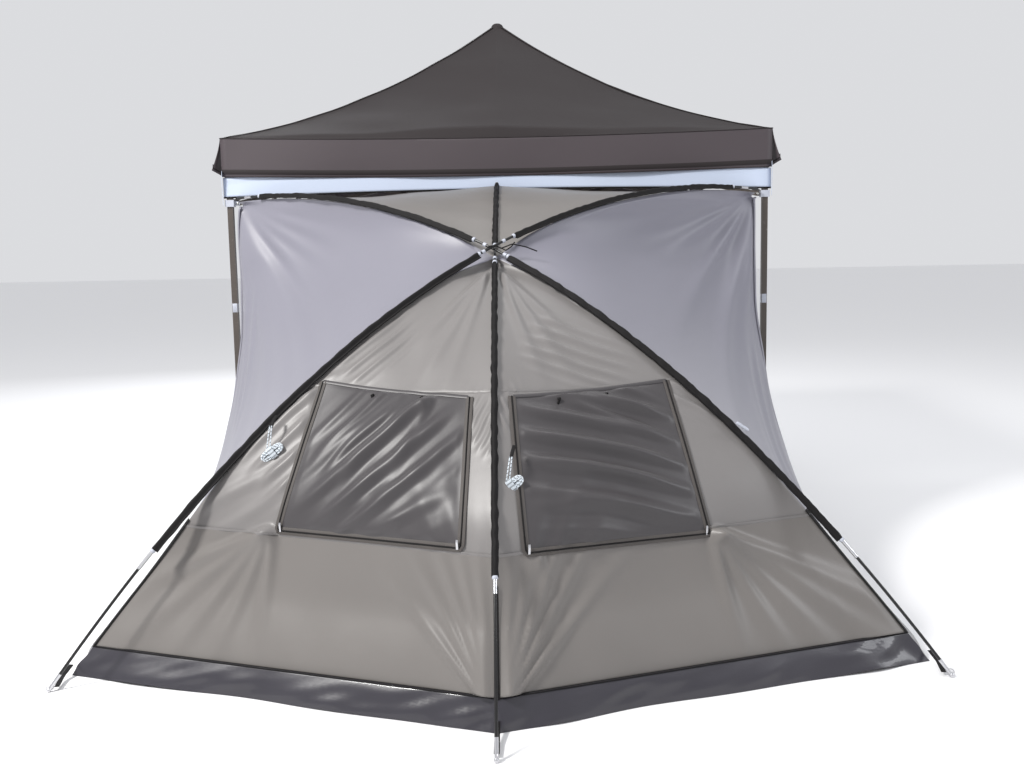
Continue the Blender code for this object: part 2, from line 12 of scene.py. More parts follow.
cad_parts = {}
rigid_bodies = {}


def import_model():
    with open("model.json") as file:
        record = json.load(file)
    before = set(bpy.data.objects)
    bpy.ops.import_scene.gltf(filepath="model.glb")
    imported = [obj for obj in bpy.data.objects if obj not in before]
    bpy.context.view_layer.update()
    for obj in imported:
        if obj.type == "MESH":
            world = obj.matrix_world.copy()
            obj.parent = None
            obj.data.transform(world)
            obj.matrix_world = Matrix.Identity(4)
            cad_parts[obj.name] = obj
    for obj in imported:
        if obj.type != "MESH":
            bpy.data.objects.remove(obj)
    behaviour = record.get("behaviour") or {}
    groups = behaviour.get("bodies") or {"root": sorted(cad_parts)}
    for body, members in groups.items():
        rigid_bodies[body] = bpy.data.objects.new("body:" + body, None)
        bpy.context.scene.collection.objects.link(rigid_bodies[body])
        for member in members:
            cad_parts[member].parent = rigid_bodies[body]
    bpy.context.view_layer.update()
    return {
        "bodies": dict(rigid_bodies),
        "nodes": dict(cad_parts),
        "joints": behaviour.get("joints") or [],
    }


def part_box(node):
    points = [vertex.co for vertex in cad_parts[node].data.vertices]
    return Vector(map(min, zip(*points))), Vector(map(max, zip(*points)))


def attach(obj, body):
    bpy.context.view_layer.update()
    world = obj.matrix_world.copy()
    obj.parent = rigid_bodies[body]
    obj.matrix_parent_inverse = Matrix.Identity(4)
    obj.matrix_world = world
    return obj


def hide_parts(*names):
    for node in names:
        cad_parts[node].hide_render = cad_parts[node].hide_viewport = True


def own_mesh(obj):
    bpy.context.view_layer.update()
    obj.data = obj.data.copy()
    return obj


bl_info = {
    "name": "Screen House",
    "version": (1, 0, 0),
    "blender": (4, 5, 0),
    "location": "3D View > Sidebar > Screen House",
    "description": "Dresses the frame of a pop-up gazebo and the dome tent hooked onto its front",
    "category": "Object",
}

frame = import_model()


# ---- places, from the frame ----------------------------------------------------------------------
def centre(node):
    """The middle of a CAD node's box."""
    low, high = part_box(node)
    return (low + high) / 2


LEG = centre("leg_inner_front_left")
HALF = -LEG.x
FRONT_Y = LEG.y
MIDDLE_Y = centre("hub_top").y
REAR_Y = centre("leg_inner_rear_left").y
EAVE_HALF = -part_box("canopy_left")[0].x
VALANCE_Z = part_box("canopy_left")[0].z
EAVE_Z = VALANCE_Z + 0.20
ROOF_LINEAR = 0.48  # the roof rises as linear * v + (1 - linear) * v * v
CAP_OPENING = 0.034  # the roof faces stop this far from the middle
ROOF_END = 1 - CAP_OPENING / EAVE_HALF
ROOF_RISE = (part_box("canopy_left")[1].z - EAVE_Z) / (ROOF_LINEAR * ROOF_END + (1 - ROOF_LINEAR) * ROOF_END**2)
PEAK_Z = EAVE_Z + ROOF_RISE
MAST_TOP_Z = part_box("peak_mast")[1].z
BACK_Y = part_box("tent_shell")[1].y  # the tent's back edge
WALL_Y = centre("tent_back_wall").y
TUB_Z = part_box("tent_floor")[1].z
LEG_TOP_Z = centre("hub_top").z
POLE_RADIUS = 0.0062
POLE_STACK = 0.018  # between the centres of poles where they cross
POLE_BULGE = 0.585
POLE_SKEW = 0.3
POLE_FOOT = np.array([-1.76, FRONT_Y - 1.91, POLE_RADIUS])
POLE_TOP = np.array([1.385, FRONT_Y - 0.05, 1.968])
MIDDLE_FOOT = np.array([0, FRONT_Y - 2.57, POLE_RADIUS])
MIDDLE_TOP = np.array([0, FRONT_Y - 0.05, 2.025])
CORNER = np.array([-1.735, FRONT_Y - 1.74, 0])
NEAR_CORNER = np.array([0, FRONT_Y - 2.35, 0])
REAR_CORNER_X = 1.79
FABRIC_TOP = np.array([1.365, FRONT_Y - 0.068, 1.925])
RIDGE_TOP = np.array([0, FRONT_Y - 0.068, 1.992])
FABRIC_BULGE = POLE_BULGE - 2 * POLE_STACK - 0.016
MIRROR = np.array([-1, 1, 1])
INSIDE = np.array([0, FRONT_Y - 0.9, 0.7])  # a point inside the tent, which faces point away from
SIDES = {"front": (0, -1), "right": (1, 0), "rear": (0, 1), "left": (-1, 0)}
POINT_STEP = 0.012  # between the points along a sleeve or a ferrule
CANOPY_THICK = 0.0016
VALANCE_ROWS = 15  # rows of cells below the eave
BAND_MIDDLE = 1.385  # height of the pale band on an outer leg


def linear(code):
    """A hex sRGB colour as linear values."""
    parts = [int(code[i : i + 2], 16) / 255 for i in (1, 3, 5)]
    return tuple(c / 12.92 if c <= 0.04045 else ((c + 0.055) / 1.055) ** 2.4 for c in parts)


def length(name, description, default):
    """A size property in metres."""
    return bpy.props.FloatProperty(
        name=name, description=description, default=default, unit="LENGTH", precision=4
    )


def colour(name, description, code):
    """A colour property whose default is a hex sRGB colour."""
    return bpy.props.FloatVectorProperty(
        name=name, description=description, default=linear(code), subtype="COLOR", size=3, min=0, max=1
    )


class ShelterSizes(bpy.types.PropertyGroup):
    """Sizes of the fabric, the fittings and the ropes."""

    fabric: length("Fabric thickness", "Thickness of the tent's nylon", 0.0012)
    sleeve: length("Sleeve width", "Width of a pole sleeve laid flat", 0.038)
    middle_sleeve: length("Middle sleeve width", "Width of the middle pole's sleeve", 0.026)
    sag: length("Panel sag", "How far a tent panel hangs in from its edges", 0.022)
    pleat: length("Pleat depth", "Depth of the deepest pleats in the tent", 0.020)
    valance_wave: length("Valance wave", "How far the valance waves in and out", 0.008)
    seam_low: length("Skirt seam height", "Height of the seam above the skirt", 0.585)
    seam_high: length("Upper seam height", "Height of the seam at the windows' tops", 1.13)
    band: length("Band height", "Height of the pale band that the tent hangs from", 0.095)
    rope: length("Rope diameter", "Diameter of a guy rope", 0.005)


class ShelterColours(bpy.types.PropertyGroup):
    """Colours of the fabrics, metals and mouldings."""

    canopy: colour("Canopy", "Coated polyester of the roof", "#2A2526")
    valance: colour("Valance", "Coated polyester of the valance", "#453D41")
    side: colour("Side panels", "Nylon of the tent's side panels", "#82818C")
    front: colour("Front panels", "Nylon of the front panels between the seams", "#797675")
    skirt: colour("Skirt", "Nylon of the skirt and the top panels", "#726E6B")
    cover: colour("Window covers", "Nylon of the window covers", "#403D3F")
    tub: colour("Ground sheet", "Woven polyethylene of the floor tub", "#302E36")
    sleeve: colour("Pole sleeves", "Polyester of the pole sleeves and bindings", "#0F0D0E")
    tape: colour("Zip tape", "Woven tape beside the windows' zips", "#4A4542")
    band: colour("Band", "Pale polyester of the band", "#C3CEE2")
    steel: colour("Frame steel", "Powder coat of the legs and bars", "#4E4742")
    moulding: colour("Mouldings", "Moulded nylon of the joints and sliders", "#B3B7C2")
    pole: colour("Pole", "Fibreglass of the tent poles", "#0E0D0E")
    ferrule: colour("Ferrules", "Metal of the ferrules and rings", "#C9C9CC")
    rope: colour("Rope", "Braided guy rope", "#D3DBE2")
    floor: colour("Stage", "Pale floor under the object", "#F1F1F2")


# ---- numbers on grids ----------------------------------------------------------------------------
def unit(vectors):
    """Vectors divided by their lengths."""
    return vectors / np.maximum(np.linalg.norm(vectors, axis=-1, keepdims=True), 1e-12)


def smooth(x):
    """0 below 0, 1 above 1, and 3x^2 - 2x^3 between."""
    x = np.clip(x, 0, 1)
    return x * x * (3 - 2 * x)


def normals(grid, away_from):
    """Unit normals of a grid, the cross product of its two differences, turned away from a point."""
    normal = unit(np.cross(np.gradient(grid, axis=0), np.gradient(grid, axis=1)))
    facing = np.sign(np.sum(normal * (grid - away_from), axis=(-1))).mean()
    return normal if facing >= 0 else -normal


def distances(points):
    """Each point's distance along a curve."""
    return np.concatenate([[0], np.cumsum(np.linalg.norm(np.diff(points, axis=0), axis=1))])


def points_at(points, keys, want):
    """A curve's points where the rising keys, one for each point, reach the wanted values."""
    return np.stack([np.interp(want, keys, points[:, i]) for i in range(3)], -1)


def resample(points, count):
    """A curve's points at even steps along it."""
    along = distances(points)
    return points_at(points, along, np.linspace(0, along[-1], count))


def stretch_of(points, start, end):
    """The stretch of a curve between two distances along it."""
    count = max(3, int((end - start) / POINT_STEP))
    return points_at(points, distances(points), np.linspace(start, end, count))


def at_heights(points, heights):
    """A rising curve's points at given heights."""
    return points_at(points, points[:, 2], heights)


def metric_uv(grid):
    """UV in metres: distance along each row from its middle, and distance up the middle column."""
    step = np.linalg.norm(np.diff(grid, axis=1), axis=2)
    across = np.concatenate([np.zeros((len(grid), 1)), np.cumsum(step, axis=1)], axis=1)
    across -= across[:, -1:] / 2
    middle = grid[:, grid.shape[1] // 2]
    up = np.concatenate([[0], np.cumsum(np.linalg.norm(np.diff(middle, axis=0), axis=1))])
    return np.stack([across, np.broadcast_to(up[:, None], across.shape)], -1)


def undulation(x, z, seed, shortest, longest, waves=9):
    """Gentle unevenness between about -1 and 1: the mean of plane waves in seeded directions and
    lengths."""
    draw = np.random.default_rng(seed)
    total = np.zeros(np.broadcast(x, z).shape)
    for _ in range(waves):
        bearing, phase = draw.uniform(0, math.pi), draw.uniform(0, 2 * math.pi)
        wave = draw.uniform(shortest, longest)
        total += np.sin(2 * math.pi * (x * math.cos(bearing) + z * math.sin(bearing)) / wave + phase)
    return total / math.sqrt(waves)


def fan(x, z, apex, bearings, reach, width, spread=0.075, start=0.06):
    """Pleats that fan out from a pulled point. Each is a bell curve across its ray, as wide as a share
    of the distance along it plus a little, and it rises near the point and fades like a bell past its
    reach."""
    bearings = np.radians(np.asarray(bearings, float))[:, None, None]
    reach = np.broadcast_to(np.asarray(reach, float), bearings.shape[:1])[:, None, None]
    dx, dz = x - apex[0], z - apex[1]
    along = dx * np.cos(bearings) + dz * np.sin(bearings)
    off = -dx * np.sin(bearings) + dz * np.cos(bearings)
    broad = width + spread * np.maximum(along, 0) * width / 0.02
    ridge = np.exp(-((off / broad) ** 2)) * smooth(along / start) * np.exp(-(np.abs(along / reach) ** 2.5))
    return ridge.sum(axis=0)


def furrows(x, z, start, end, half_width, pitch, seed=0):
    """Parallel folds along the line from start to end: a wave across the line whose crests are sharper
    than its troughs, which wanders a little, and fades like a bell past the half width and at both
    ends."""
    start, end = np.array(start, float), np.array(end, float)
    run = np.linalg.norm(end - start)
    way = (end - start) / run
    dx, dz = x - start[0], z - start[1]
    along, off = dx * way[0] + dz * way[1], -dx * way[1] + dz * way[0]
    wander = 0.35 * undulation(x, z, seed, run * 0.5, run * 1.2)
    wave = 0.5 + 0.5 * np.sin(2 * math.pi * off / pitch + 1.6 * wander)
    ends = smooth(along / (0.25 * run)) * smooth((run - along) / (0.4 * run))
    return wave**1.8 * np.exp(-((off / half_width) ** 4)) * ends


# ---- meshes --------------------------------------------------------------------------------------
def build(name, grids, finish, wrap=False, weld=False):
    """One object from grids of points. With wrap, the last column joins the first. Weld closes points
    that meet."""
    verts, faces, maps, base = [], [], [], 0
    for grid in grids:
        rows, columns = grid.shape[:2]
        index = np.arange(rows * columns).reshape(rows, columns) + base
        base += rows * columns
        tex = metric_uv(np.concatenate([grid, grid[:, :1]], axis=1) if wrap else grid)
        if wrap:
            index = np.concatenate([index, index[:, :1]], axis=1)
        corners = (np.s_[:-1, :-1], np.s_[:-1, 1:], np.s_[1:, 1:], np.s_[1:, :-1])
        faces.append(np.stack([index[c] for c in corners], -1).reshape(-1, 4))
        maps.append(np.stack([tex[c] for c in corners], -2).reshape(-1, 2))
        verts.append(grid.reshape(-1, 3))
    mesh = bpy.data.meshes.new(name)
    mesh.from_pydata(np.concatenate(verts), [], np.concatenate(faces))
    layer = mesh.uv_layers.new(name="Cloth")
    layer.data.foreach_set("uv", np.concatenate(maps).astype(np.float32).ravel())
    made = bpy.data.objects.new(name, mesh)
    bpy.context.scene.collection.objects.link(made)
    mesh.materials.append(finish)
    if weld:
        weld_points(mesh)
    mesh.shade_smooth()
    mesh.set_sharp_from_angle(angle=math.radians(45))
    return made


def weld_points(mesh):
    """Merges points that meet, drops faces with no area, and points the rest outwards."""
    bm = bmesh.new()
    bm.from_mesh(mesh)
    bmesh.ops.remove_doubles(bm, verts=bm.verts, dist=1e-6)
    bmesh.ops.dissolve_degenerate(bm, edges=bm.edges, dist=1e-7)
    bmesh.ops.recalc_face_normals(bm, faces=bm.faces)
    bm.to_mesh(mesh)
    bm.free()


def thicken(piece, thickness, offset=-1):
    """Gives a sheet its thickness."""
    wall = piece.modifiers.new("cloth", "SOLIDIFY")
    wall.thickness = thickness
    wall.offset = offset
    return piece


def face_out(piece, away_from):
    """Turns a sheet's faces over if they point towards a point."""
    mesh = piece.data
    count = len(mesh.polygons)
    normal, middle = np.zeros(count * 3, np.float32), np.zeros(count * 3, np.float32)
    mesh.polygons.foreach_get("normal", normal)
    mesh.polygons.foreach_get("center", middle)
    outward = (normal.reshape(-1, 3) * (middle.reshape(-1, 3) - np.array(away_from))).sum()
    if outward < 0:
        mesh.flip_normals()
    return piece


def sweep(path, profile, lift):
    """A profile carried along a path: point i, j is path i plus profile j's first number along the side
    direction and its second along the lift, both square to the path. Its ends shrink to points."""
    tangent = unit(np.gradient(path, axis=0))
    lift = np.broadcast_to(np.asarray(lift, float), path.shape)
    lift = unit(lift - np.sum(lift * tangent, axis=1, keepdims=True) * tangent)
    side = np.cross(tangent, lift)
    profile = np.asarray(profile, float)
    body = path[:, None] + profile[None, :, :1] * side[:, None] + profile[None, :, 1:] * lift[:, None]
    ends = [body[i : i + 1].mean(axis=1, keepdims=True) + 0 * body[i : i + 1] for i in (0, len(path) - 1)]
    return np.concatenate([ends[0], body, ends[1]])


def round_profile(radius, sides=14):
    """Points round a circle."""
    turn = np.linspace(0, 2 * math.pi, sides, endpoint=False)
    return radius * np.stack([np.cos(turn), np.sin(turn)], -1)


def slab_profile(width, thick):
    """A flat strip's cross-section with softened edges: eight points."""
    a, b, c = width / 2, thick / 2, thick * 0.3
    outline = [(-a, c), (-a + c, b), (a - c, b), (a, c), (a, -c), (a - c, -b), (-a + c, -b), (-a, -c)]
    return np.array(outline)[::-1]


def turned(middle, axis, profile, sides=16):
    """A surface of revolution: each (distance along the axis, radius) of the profile goes round the
    axis."""
    axis = unit(np.asarray(axis, float))
    first = unit(np.cross(axis, [0.3, 0.5, 0.81]))
    second = np.cross(axis, first)
    turn = np.linspace(0, 2 * math.pi, sides, endpoint=False)
    ring = np.cos(turn)[:, None] * first + np.sin(turn)[:, None] * second
    profile = np.asarray(profile, float)
    return np.asarray(middle) + profile[:, :1, None] * axis + profile[:, 1:, None] * ring[None]


def ring_path(middle, axis, radius, count=25):
    """A closed circle of points about an axis, its last point on its first."""
    axis = unit(np.asarray(axis, float))
    first = unit(np.cross(axis, [0.3, 0.5, 0.81]))
    turn = np.linspace(0, 2 * math.pi, count)[:, None]
    return np.asarray(middle) + radius * (np.cos(turn) * first + np.sin(turn) * np.cross(axis, first))


def tent_piece(piece, replaces=(), body="root"):
    """A piece of the tent stays with its body."""
    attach(piece, body)
    if replaces:
        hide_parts(*replaces)
    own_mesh(piece)
    return piece


def sewn(name, strips, finish, replaces=(), body="root"):
    """A closed piece of the tent, such as a tape, a cord or a fitting, from swept or turned grids."""
    return tent_piece(build(name, strips, material(finish), wrap=True, weld=True), replaces, body)


def skin(name, grid, finish, thickness, slot="tent_wall", replaces=(), body="root", offset=-1):
    """A sheet of the tent, with its faces turned outwards and its thickness."""
    piece = face_out(build(name, [grid], material(finish)), INSIDE)
    return tent_piece(thicken(piece, thickness, offset), replaces, body)


# ---- the tent's lines ----------------------------------------------------------------------------
def side_arch(t, foot, top, bulge):
    """A side pole from its left foot to the right top: the chord plus a leaning parabola square to
    it."""
    t = np.asarray(t, float)[:, None]
    chord = unit(top - foot)
    lean = np.array([-0.30, -0.45, 0.84])
    out = unit(lean - (lean @ chord) * chord)
    return foot + t * (top - foot) + bulge * 4 * t * (1 - t) * (1 + POLE_SKEW * (t - 0.5)) * out


def middle_arch(t, foot, top, through):
    """The middle pole: the chord from foot to top plus the parabola square to it that passes a
    point."""
    t = np.asarray(t, float)[:, None]
    span = np.linalg.norm(top - foot)
    chord = (top - foot) / span
    at = (through - foot) @ chord / span
    stand = (through - foot) - at * span * chord
    bulge = np.linalg.norm(stand) / (4 * at * (1 - at))
    return foot + t * (top - foot) + bulge * 4 * t * (1 - t) * unit(stand)


def crossing(points):
    """Where a side arch passes the middle plane."""
    k = int(np.argmax(points[:, 0] > 0))
    a, b = points[k - 1], points[k]
    return a + (b - a) * (-a[0] / (b[0] - a[0]))


STEPS = np.linspace(0, 1, 241)
POLE_A = side_arch(STEPS, POLE_FOOT, POLE_TOP, POLE_BULGE)
POLE_B = side_arch(STEPS, POLE_FOOT, POLE_TOP, POLE_BULGE - POLE_STACK) * MIRROR
UNDER = side_arch(STEPS, POLE_FOOT, POLE_TOP, POLE_BULGE - 2 * POLE_STACK)
POLE_C = middle_arch(STEPS, MIDDLE_FOOT, MIDDLE_TOP, crossing(UNDER))


def outward(points):
    """Unit directions away from the inside of the tent, square to a pole."""
    tangent = unit(np.gradient(points, axis=0))
    out = points - (INSIDE + [0, 0.1, -0.35])
    return unit(out - np.sum(out * tangent, axis=1, keepdims=True) * tangent)


def hugging_edge(base, pole, gap, meet):
    """A panel's edge: the floor's corner near the ground, then close under the pole, and through a
    shared point where the poles cross."""
    hug = smooth((STEPS - 0.10) / 0.16)
    edge = base + hug[:, None] * (pole - gap * outward(pole) - base)
    k = int(np.argmin(np.linalg.norm(edge - meet, axis=1)))
    near = np.exp(-((np.linalg.norm(edge - edge[k], axis=1) / 0.16) ** 2))
    return edge + near[:, None] * (meet - edge[k])


def tent_edges():
    """The six panel edges from low to high: a and b on the left, and c in the middle, each below and
    above the crossing. A goes up from the left foot, and b down from the left top."""
    base = side_arch(STEPS, CORNER, FABRIC_TOP, FABRIC_BULGE)
    cross = crossing(UNDER) + np.array([0, 0.010, -0.018])
    edge_a = hugging_edge(base, POLE_A, 0.019, cross)
    edge_b = hugging_edge(base * MIRROR, POLE_B, 0.019, cross)
    middle = middle_arch(STEPS, NEAR_CORNER, RIDGE_TOP, cross)
    edge_c = hugging_edge(middle, POLE_C, 0.014, cross)
    k = [int(np.argmin(np.linalg.norm(edge - cross, axis=1))) for edge in (edge_a, edge_b, edge_c)]
    return {
        "a_low": np.vstack([edge_a[: k[0]], cross]),
        "a_up": np.vstack([cross, edge_a[k[0] + 1 :]]) * MIRROR,
        "b_low": np.vstack([edge_b[: k[1]], cross]) * MIRROR,
        "b_up": np.vstack([cross, edge_b[k[1] + 1 :]]),
        "c_low": np.vstack([edge_c[: k[2]], cross]),
        "c_up": np.vstack([cross, edge_c[k[2] + 1 :]]),
        "cross": cross,
    }


EDGES = tent_edges()
CROSS = EDGES["cross"]
LOW_EDGES = {-1: EDGES["a_low"], 1: EDGES["b_low"] * MIRROR}  # of the front panels, at the side poles
SKIRT_Z = TUB_Z + 0.002


def back_edge(heights):
    """The tent's back edge on the left: straight below the corner, then flaring out to the ground."""
    drop = np.clip(1 - heights / FABRIC_TOP[2], 0, 1)
    x = FABRIC_TOP[0] + (REAR_CORNER_X - FABRIC_TOP[0]) * drop**2.4
    return np.stack([-x, np.full_like(x, BACK_Y), heights], -1)


def ruled(first, last, columns):
    """The ruled surface between two edges with as many points each."""
    mix = np.linspace(0, 1, columns)[None, :, None]
    return first[:, None] * (1 - mix) + last[:, None] * mix


def front_point(x, z, side):
    """Points of a front panel over arrays of x and height, and their shares of the way from side pole
    to middle: the straight line at that height from the side pole's edge to the middle pole's."""
    first, last = at_heights(LOW_EDGES[side], z), at_heights(EDGES["c_low"], z)
    share = (x - first[..., 0]) / (last[..., 0] - first[..., 0])
    return first + (last - first) * share[..., None], share


def front_grid(heights, columns, side):
    """A front panel between two heights, and each point's share of the way from side pole to middle."""
    grid = ruled(at_heights(LOW_EDGES[side], heights), at_heights(EDGES["c_low"], heights), columns)
    return grid, np.broadcast_to(np.linspace(0, 1, columns), grid.shape[:2])


# Each window cover's corners as (x, height): outer top, inner top, inner bottom and outer bottom.
WINDOWS = {
    -1: ((-0.716, 1.147), (-0.099, 1.109), (-0.126, 0.602), (-0.869, 0.602)),
    1: ((0.709, 1.128), (0.068, 1.109), (0.111, 0.583), (0.838, 0.565)),
}


def window_mask(x, z, side):
    """1 inside a window cover's straight-edged outline, fading to 0 over 3 cm outside it."""
    outer_top, inner_top, inner_low, outer_low = (np.array(c) for c in WINDOWS[side])
    rise = (z - outer_low[1]) / (outer_top[1] - outer_low[1])
    outer_x = outer_low[0] + (outer_top[0] - outer_low[0]) * rise
    inner_x = inner_low[0] + (inner_top[0] - inner_low[0]) * rise
    wide = smooth(((x - outer_x) * -side + 0.03) / 0.03) * smooth(((inner_x - x) * -side + 0.03) / 0.03)
    share = (x - outer_x) / (inner_x - outer_x)
    top = outer_top[1] + (inner_top[1] - outer_top[1]) * share
    low = outer_low[1] + (inner_low[1] - outer_low[1]) * share
    return wide * smooth((z - low + 0.03) / 0.03) * smooth((top + 0.03 - z) / 0.03)


def soap(grid, rounds):
    """Relaxes a grid towards a soap film: each inner point moves to the mean of its four neighbours,
    and the edges stay. This is the shape that evenly stretched cloth takes."""
    for _ in range(rounds):
        inner = grid[:-2, 1:-1] + grid[2:, 1:-1] + grid[1:-1, :-2] + grid[1:-1, 2:]
        grid = grid.copy()
        grid[1:-1, 1:-1] = inner / 4
    return grid


def held(share, edge=0.03):
    """1 inside, and 0 where a share across is 0 or 1, so that a relief leaves a joined edge in its
    place."""
    return smooth(share / edge) * smooth((1 - share) / edge)


def push(grid, amount, share):
    """Moves a grid outwards by an amount that fades to nothing at its joined edges, and returns it."""
    return grid + (amount * held(share))[..., None] * normals(grid, INSIDE)


# Each fold is its share of the pleat depth, whether a window cover hides it, its kind, and that kind's
# own values.
FRONT_FOLDS = {
    -1: (
        (0.75, True, furrows, (-1.02, 0.78), (-0.55, 1.16), 0.20, 0.062, 3),
        (0.45, True, furrows, (-1.25, 0.60), (-0.80, 0.86), 0.13, 0.10, 4),
        (1.1, False, fan, (-0.88, 0.62), (206, 217, 229, 243, 262), (0.6, 0.72, 0.6, 0.5, 0.34), 0.013),
        (1.0, False, fan, (-0.01, 0.06), (96, 103, 111, 121, 134), (0.5, 0.6, 0.6, 0.5, 0.4), 0.009),
        (0.5, True, fan, (-0.62, 1.14), (196, 205, 214, 224), 0.3, 0.010),
        (0.3, True, furrows, (-0.1, 0.92), (0.03, 1.12), 0.12, 0.035, 5),
        (0.7, False, fan, (-0.02, 1.60), (-112, -124, -137), (0.4, 0.5, 0.4), 0.011),
        (0.4, True, furrows, (-0.66, 1.14), (-0.30, 1.42), 0.07, 0.04, 12),
    ),
    1: (
        (1.2, False, fan, (0.84, 0.59), (-27, -35, -45, -58, -76), (0.95, 0.9, 0.65, 0.5, 0.36), 0.013),
        (1.1, False, fan, (0.01, 0.06), (44, 57, 67, 76, 84), (0.5, 0.6, 0.65, 0.55, 0.45), 0.009),
        (0.6, True, furrows, (0.10, 1.34), (0.62, 1.15), 0.10, 0.040, 6),
        (0.5, True, furrows, (0.66, 1.14), (0.98, 0.98), 0.07, 0.045, 7),
        (0.35, True, furrows, (0.0, 1.12), (0.10, 0.98), 0.10, 0.035, 8),
        (0.35, False, fan, (0.16, 0.60), (262, 271, 281), 0.3, 0.012),
        (0.7, False, fan, (0.02, 1.60), (-68, -55, -43), (0.4, 0.5, 0.4), 0.011),
    ),
}
SIDE_FOLDS = {
    -1: (
        (2.1, False, fan, (-1.38, 1.95), (-83, -74, -66, -58, -44, -32, -20, -9),
         (1.0, 1.25, 1.1, 0.85, 0.6, 0.5, 0.45, 0.4), 0.017, 0.075, 0.35),
        (0.5, False, furrows, (-1.35, 0.75), (-1.28, 1.55), 0.07, 0.06, 9),
    ),
    1: (
        (1.3, False, fan, (1.36, 1.93), (-176, -168, -152, -128, -106, -97),
         (0.9, 0.7, 0.5, 0.6, 1.0, 1.2), 0.015, 0.075, 0.3),
        (0.6, False, furrows, (1.42, 0.30), (1.34, 1.35), 0.09, 0.075, 10),
    ),
}
# The covers' folds slant down from the inner top corner on the left, and run nearly level on the right.
COVER_FOLDS = {
    -1: (
        (1.05, False, furrows, (-0.13, 1.12), (-0.80, 0.60), 0.17, 0.088, 21),
        (0.8, False, furrows, (-0.36, 1.13), (-0.72, 0.80), 0.13, 0.07, 22),
        (0.5, False, fan, (-0.24, 1.11), (205, 216, 227, 240), (0.6, 0.7, 0.6, 0.4), 0.013),
        (0.45, False, furrows, (-0.15, 0.84), (-0.58, 0.60), 0.10, 0.10, 23),
    ),
    1: (
        (1.35, False, furrows, (0.04, 1.07), (0.82, 0.86), 0.16, 0.080, 24),
        (0.8, False, furrows, (0.24, 1.15), (0.72, 0.96), 0.09, 0.055, 25),
        (1.2, False, furrows, (0.06, 0.89), (0.88, 0.68), 0.12, 0.092, 26),
        (1.0, False, furrows, (0.10, 0.74), (0.86, 0.60), 0.06, 0.11, 27),
    ),
}


def folded(total, x, z, folds, depth=1.0, shown=1.0):
    """Adds a table's folds to a relief. Those that a window cover hides are scaled by how much of them
    shows."""
    for weight, hidden, kind, *values in folds:
        total = total + (shown if hidden else 1.0) * depth * weight * kind(x, z, *values)
    return total


def front_relief(x, z, side, share, sizes):
    """How far a front panel's skin stands in or out: sag, drag folds at the windows and the pole, and
    the skirt's pleats."""
    total = -sizes.sag * 4 * share * (1 - share) + 0.0022 * undulation(x, z, 11 + side, 0.16, 0.5)
    return folded(total, x, z, FRONT_FOLDS[side], sizes.pleat, 1 - window_mask(x, z, side))


def side_relief(x, z, side, share, sizes):
    """A side panel's relief: sag, pleats that fan out of the top corner, and slack along the back
    edge."""
    total = -1.2 * sizes.sag * 4 * share * (1 - share) + 0.003 * undulation(x, z, 31 + side, 0.25, 0.8)
    return folded(total, x, z, SIDE_FOLDS[side], sizes.pleat)


# ---- materials -----------------------------------------------------------------------------------
def node(tree, kind, settings=None, links=None):
    """Adds a shader node, sets its properties or input values, and links its inputs from other nodes'
    outputs."""
    made = tree.nodes.new(kind)
    for key, value in (settings or {}).items():
        if isinstance(key, str) and hasattr(made, key) and key not in made.inputs:
            setattr(made, key, value)
        else:
            made.inputs[key].default_value = value
    for key, output in (links or {}).items():
        tree.links.new(output, made.inputs[key])
    return made


def shader(name, roughness, metallic=0.0, **more):
    """A material with a Principled shader, and its node tree."""
    made = bpy.data.materials.new(name)
    made.use_nodes = True
    tree = made.node_tree
    main = tree.nodes["Principled BSDF"]
    main.inputs["Roughness"].default_value = roughness
    main.inputs["Metallic"].default_value = metallic
    for key, value in more.items():
        main.inputs[key.replace("_", " ")].default_value = value
    return made, tree, main


def feed(tree, socket, value):
    """Sets an input to a number or colour, or links it from another node's output."""
    if isinstance(value, bpy.types.NodeSocket):
        tree.links.new(value, socket)
    else:
        socket.default_value = value


def maths(tree, operation, first, second):
    """The result of a math node on two outputs, or on an output and a number."""
    made = node(tree, "ShaderNodeMath", {"operation": operation})
    feed(tree, made.inputs[0], first)
    feed(tree, made.inputs[1], second)
    return made.outputs[0]


def blended(tree, factor, first, second, way="MIX"):
    """A colour mixed from two."""
    made = node(tree, "ShaderNodeMix", {"data_type": "RGBA", "blend_type": way})
    for socket, value in (("Factor", factor), (6, first), (7, second)):
        feed(tree, made.inputs[socket], value)
    return made.outputs[2]


def bands(tree, way, spacing, vector, **settings):
    """Bands about the given spacing apart. A wave texture makes one about every 1 / (3.2 * scale)."""
    settings.update({"bands_direction": way, "Scale": 1 / spacing / 3.2})
    return node(tree, "ShaderNodeTexWave", settings, {"Vector": vector}).outputs["Fac"]


def noise(tree, place, scale, detail, **settings):
    """A noise on the object's own coordinates."""
    settings.update({"Scale": scale, "Detail": detail})
    return node(tree, "ShaderNodeTexNoise", settings, {"Vector": place.outputs["Object"]}).outputs["Fac"]


def ranged(tree, value, low, high, start=0.0, end=1.0):
    """A value between start and end brought to between low and high."""
    settings = {"From Min": start, "From Max": end, "To Min": low, "To Max": high}
    return node(tree, "ShaderNodeMapRange", settings, {"Value": value}).outputs["Result"]


def raised(tree, height, strength, distance, **links):
    """A bump's normal."""
    settings = {"Strength": strength, "Distance": distance}
    return node(tree, "ShaderNodeBump", settings, {"Height": height, **links}).outputs["Normal"]


def shaded(tint, factor):
    """A colour made darker or lighter by a factor."""
    return [min(1, c * factor) for c in tint] + [1]


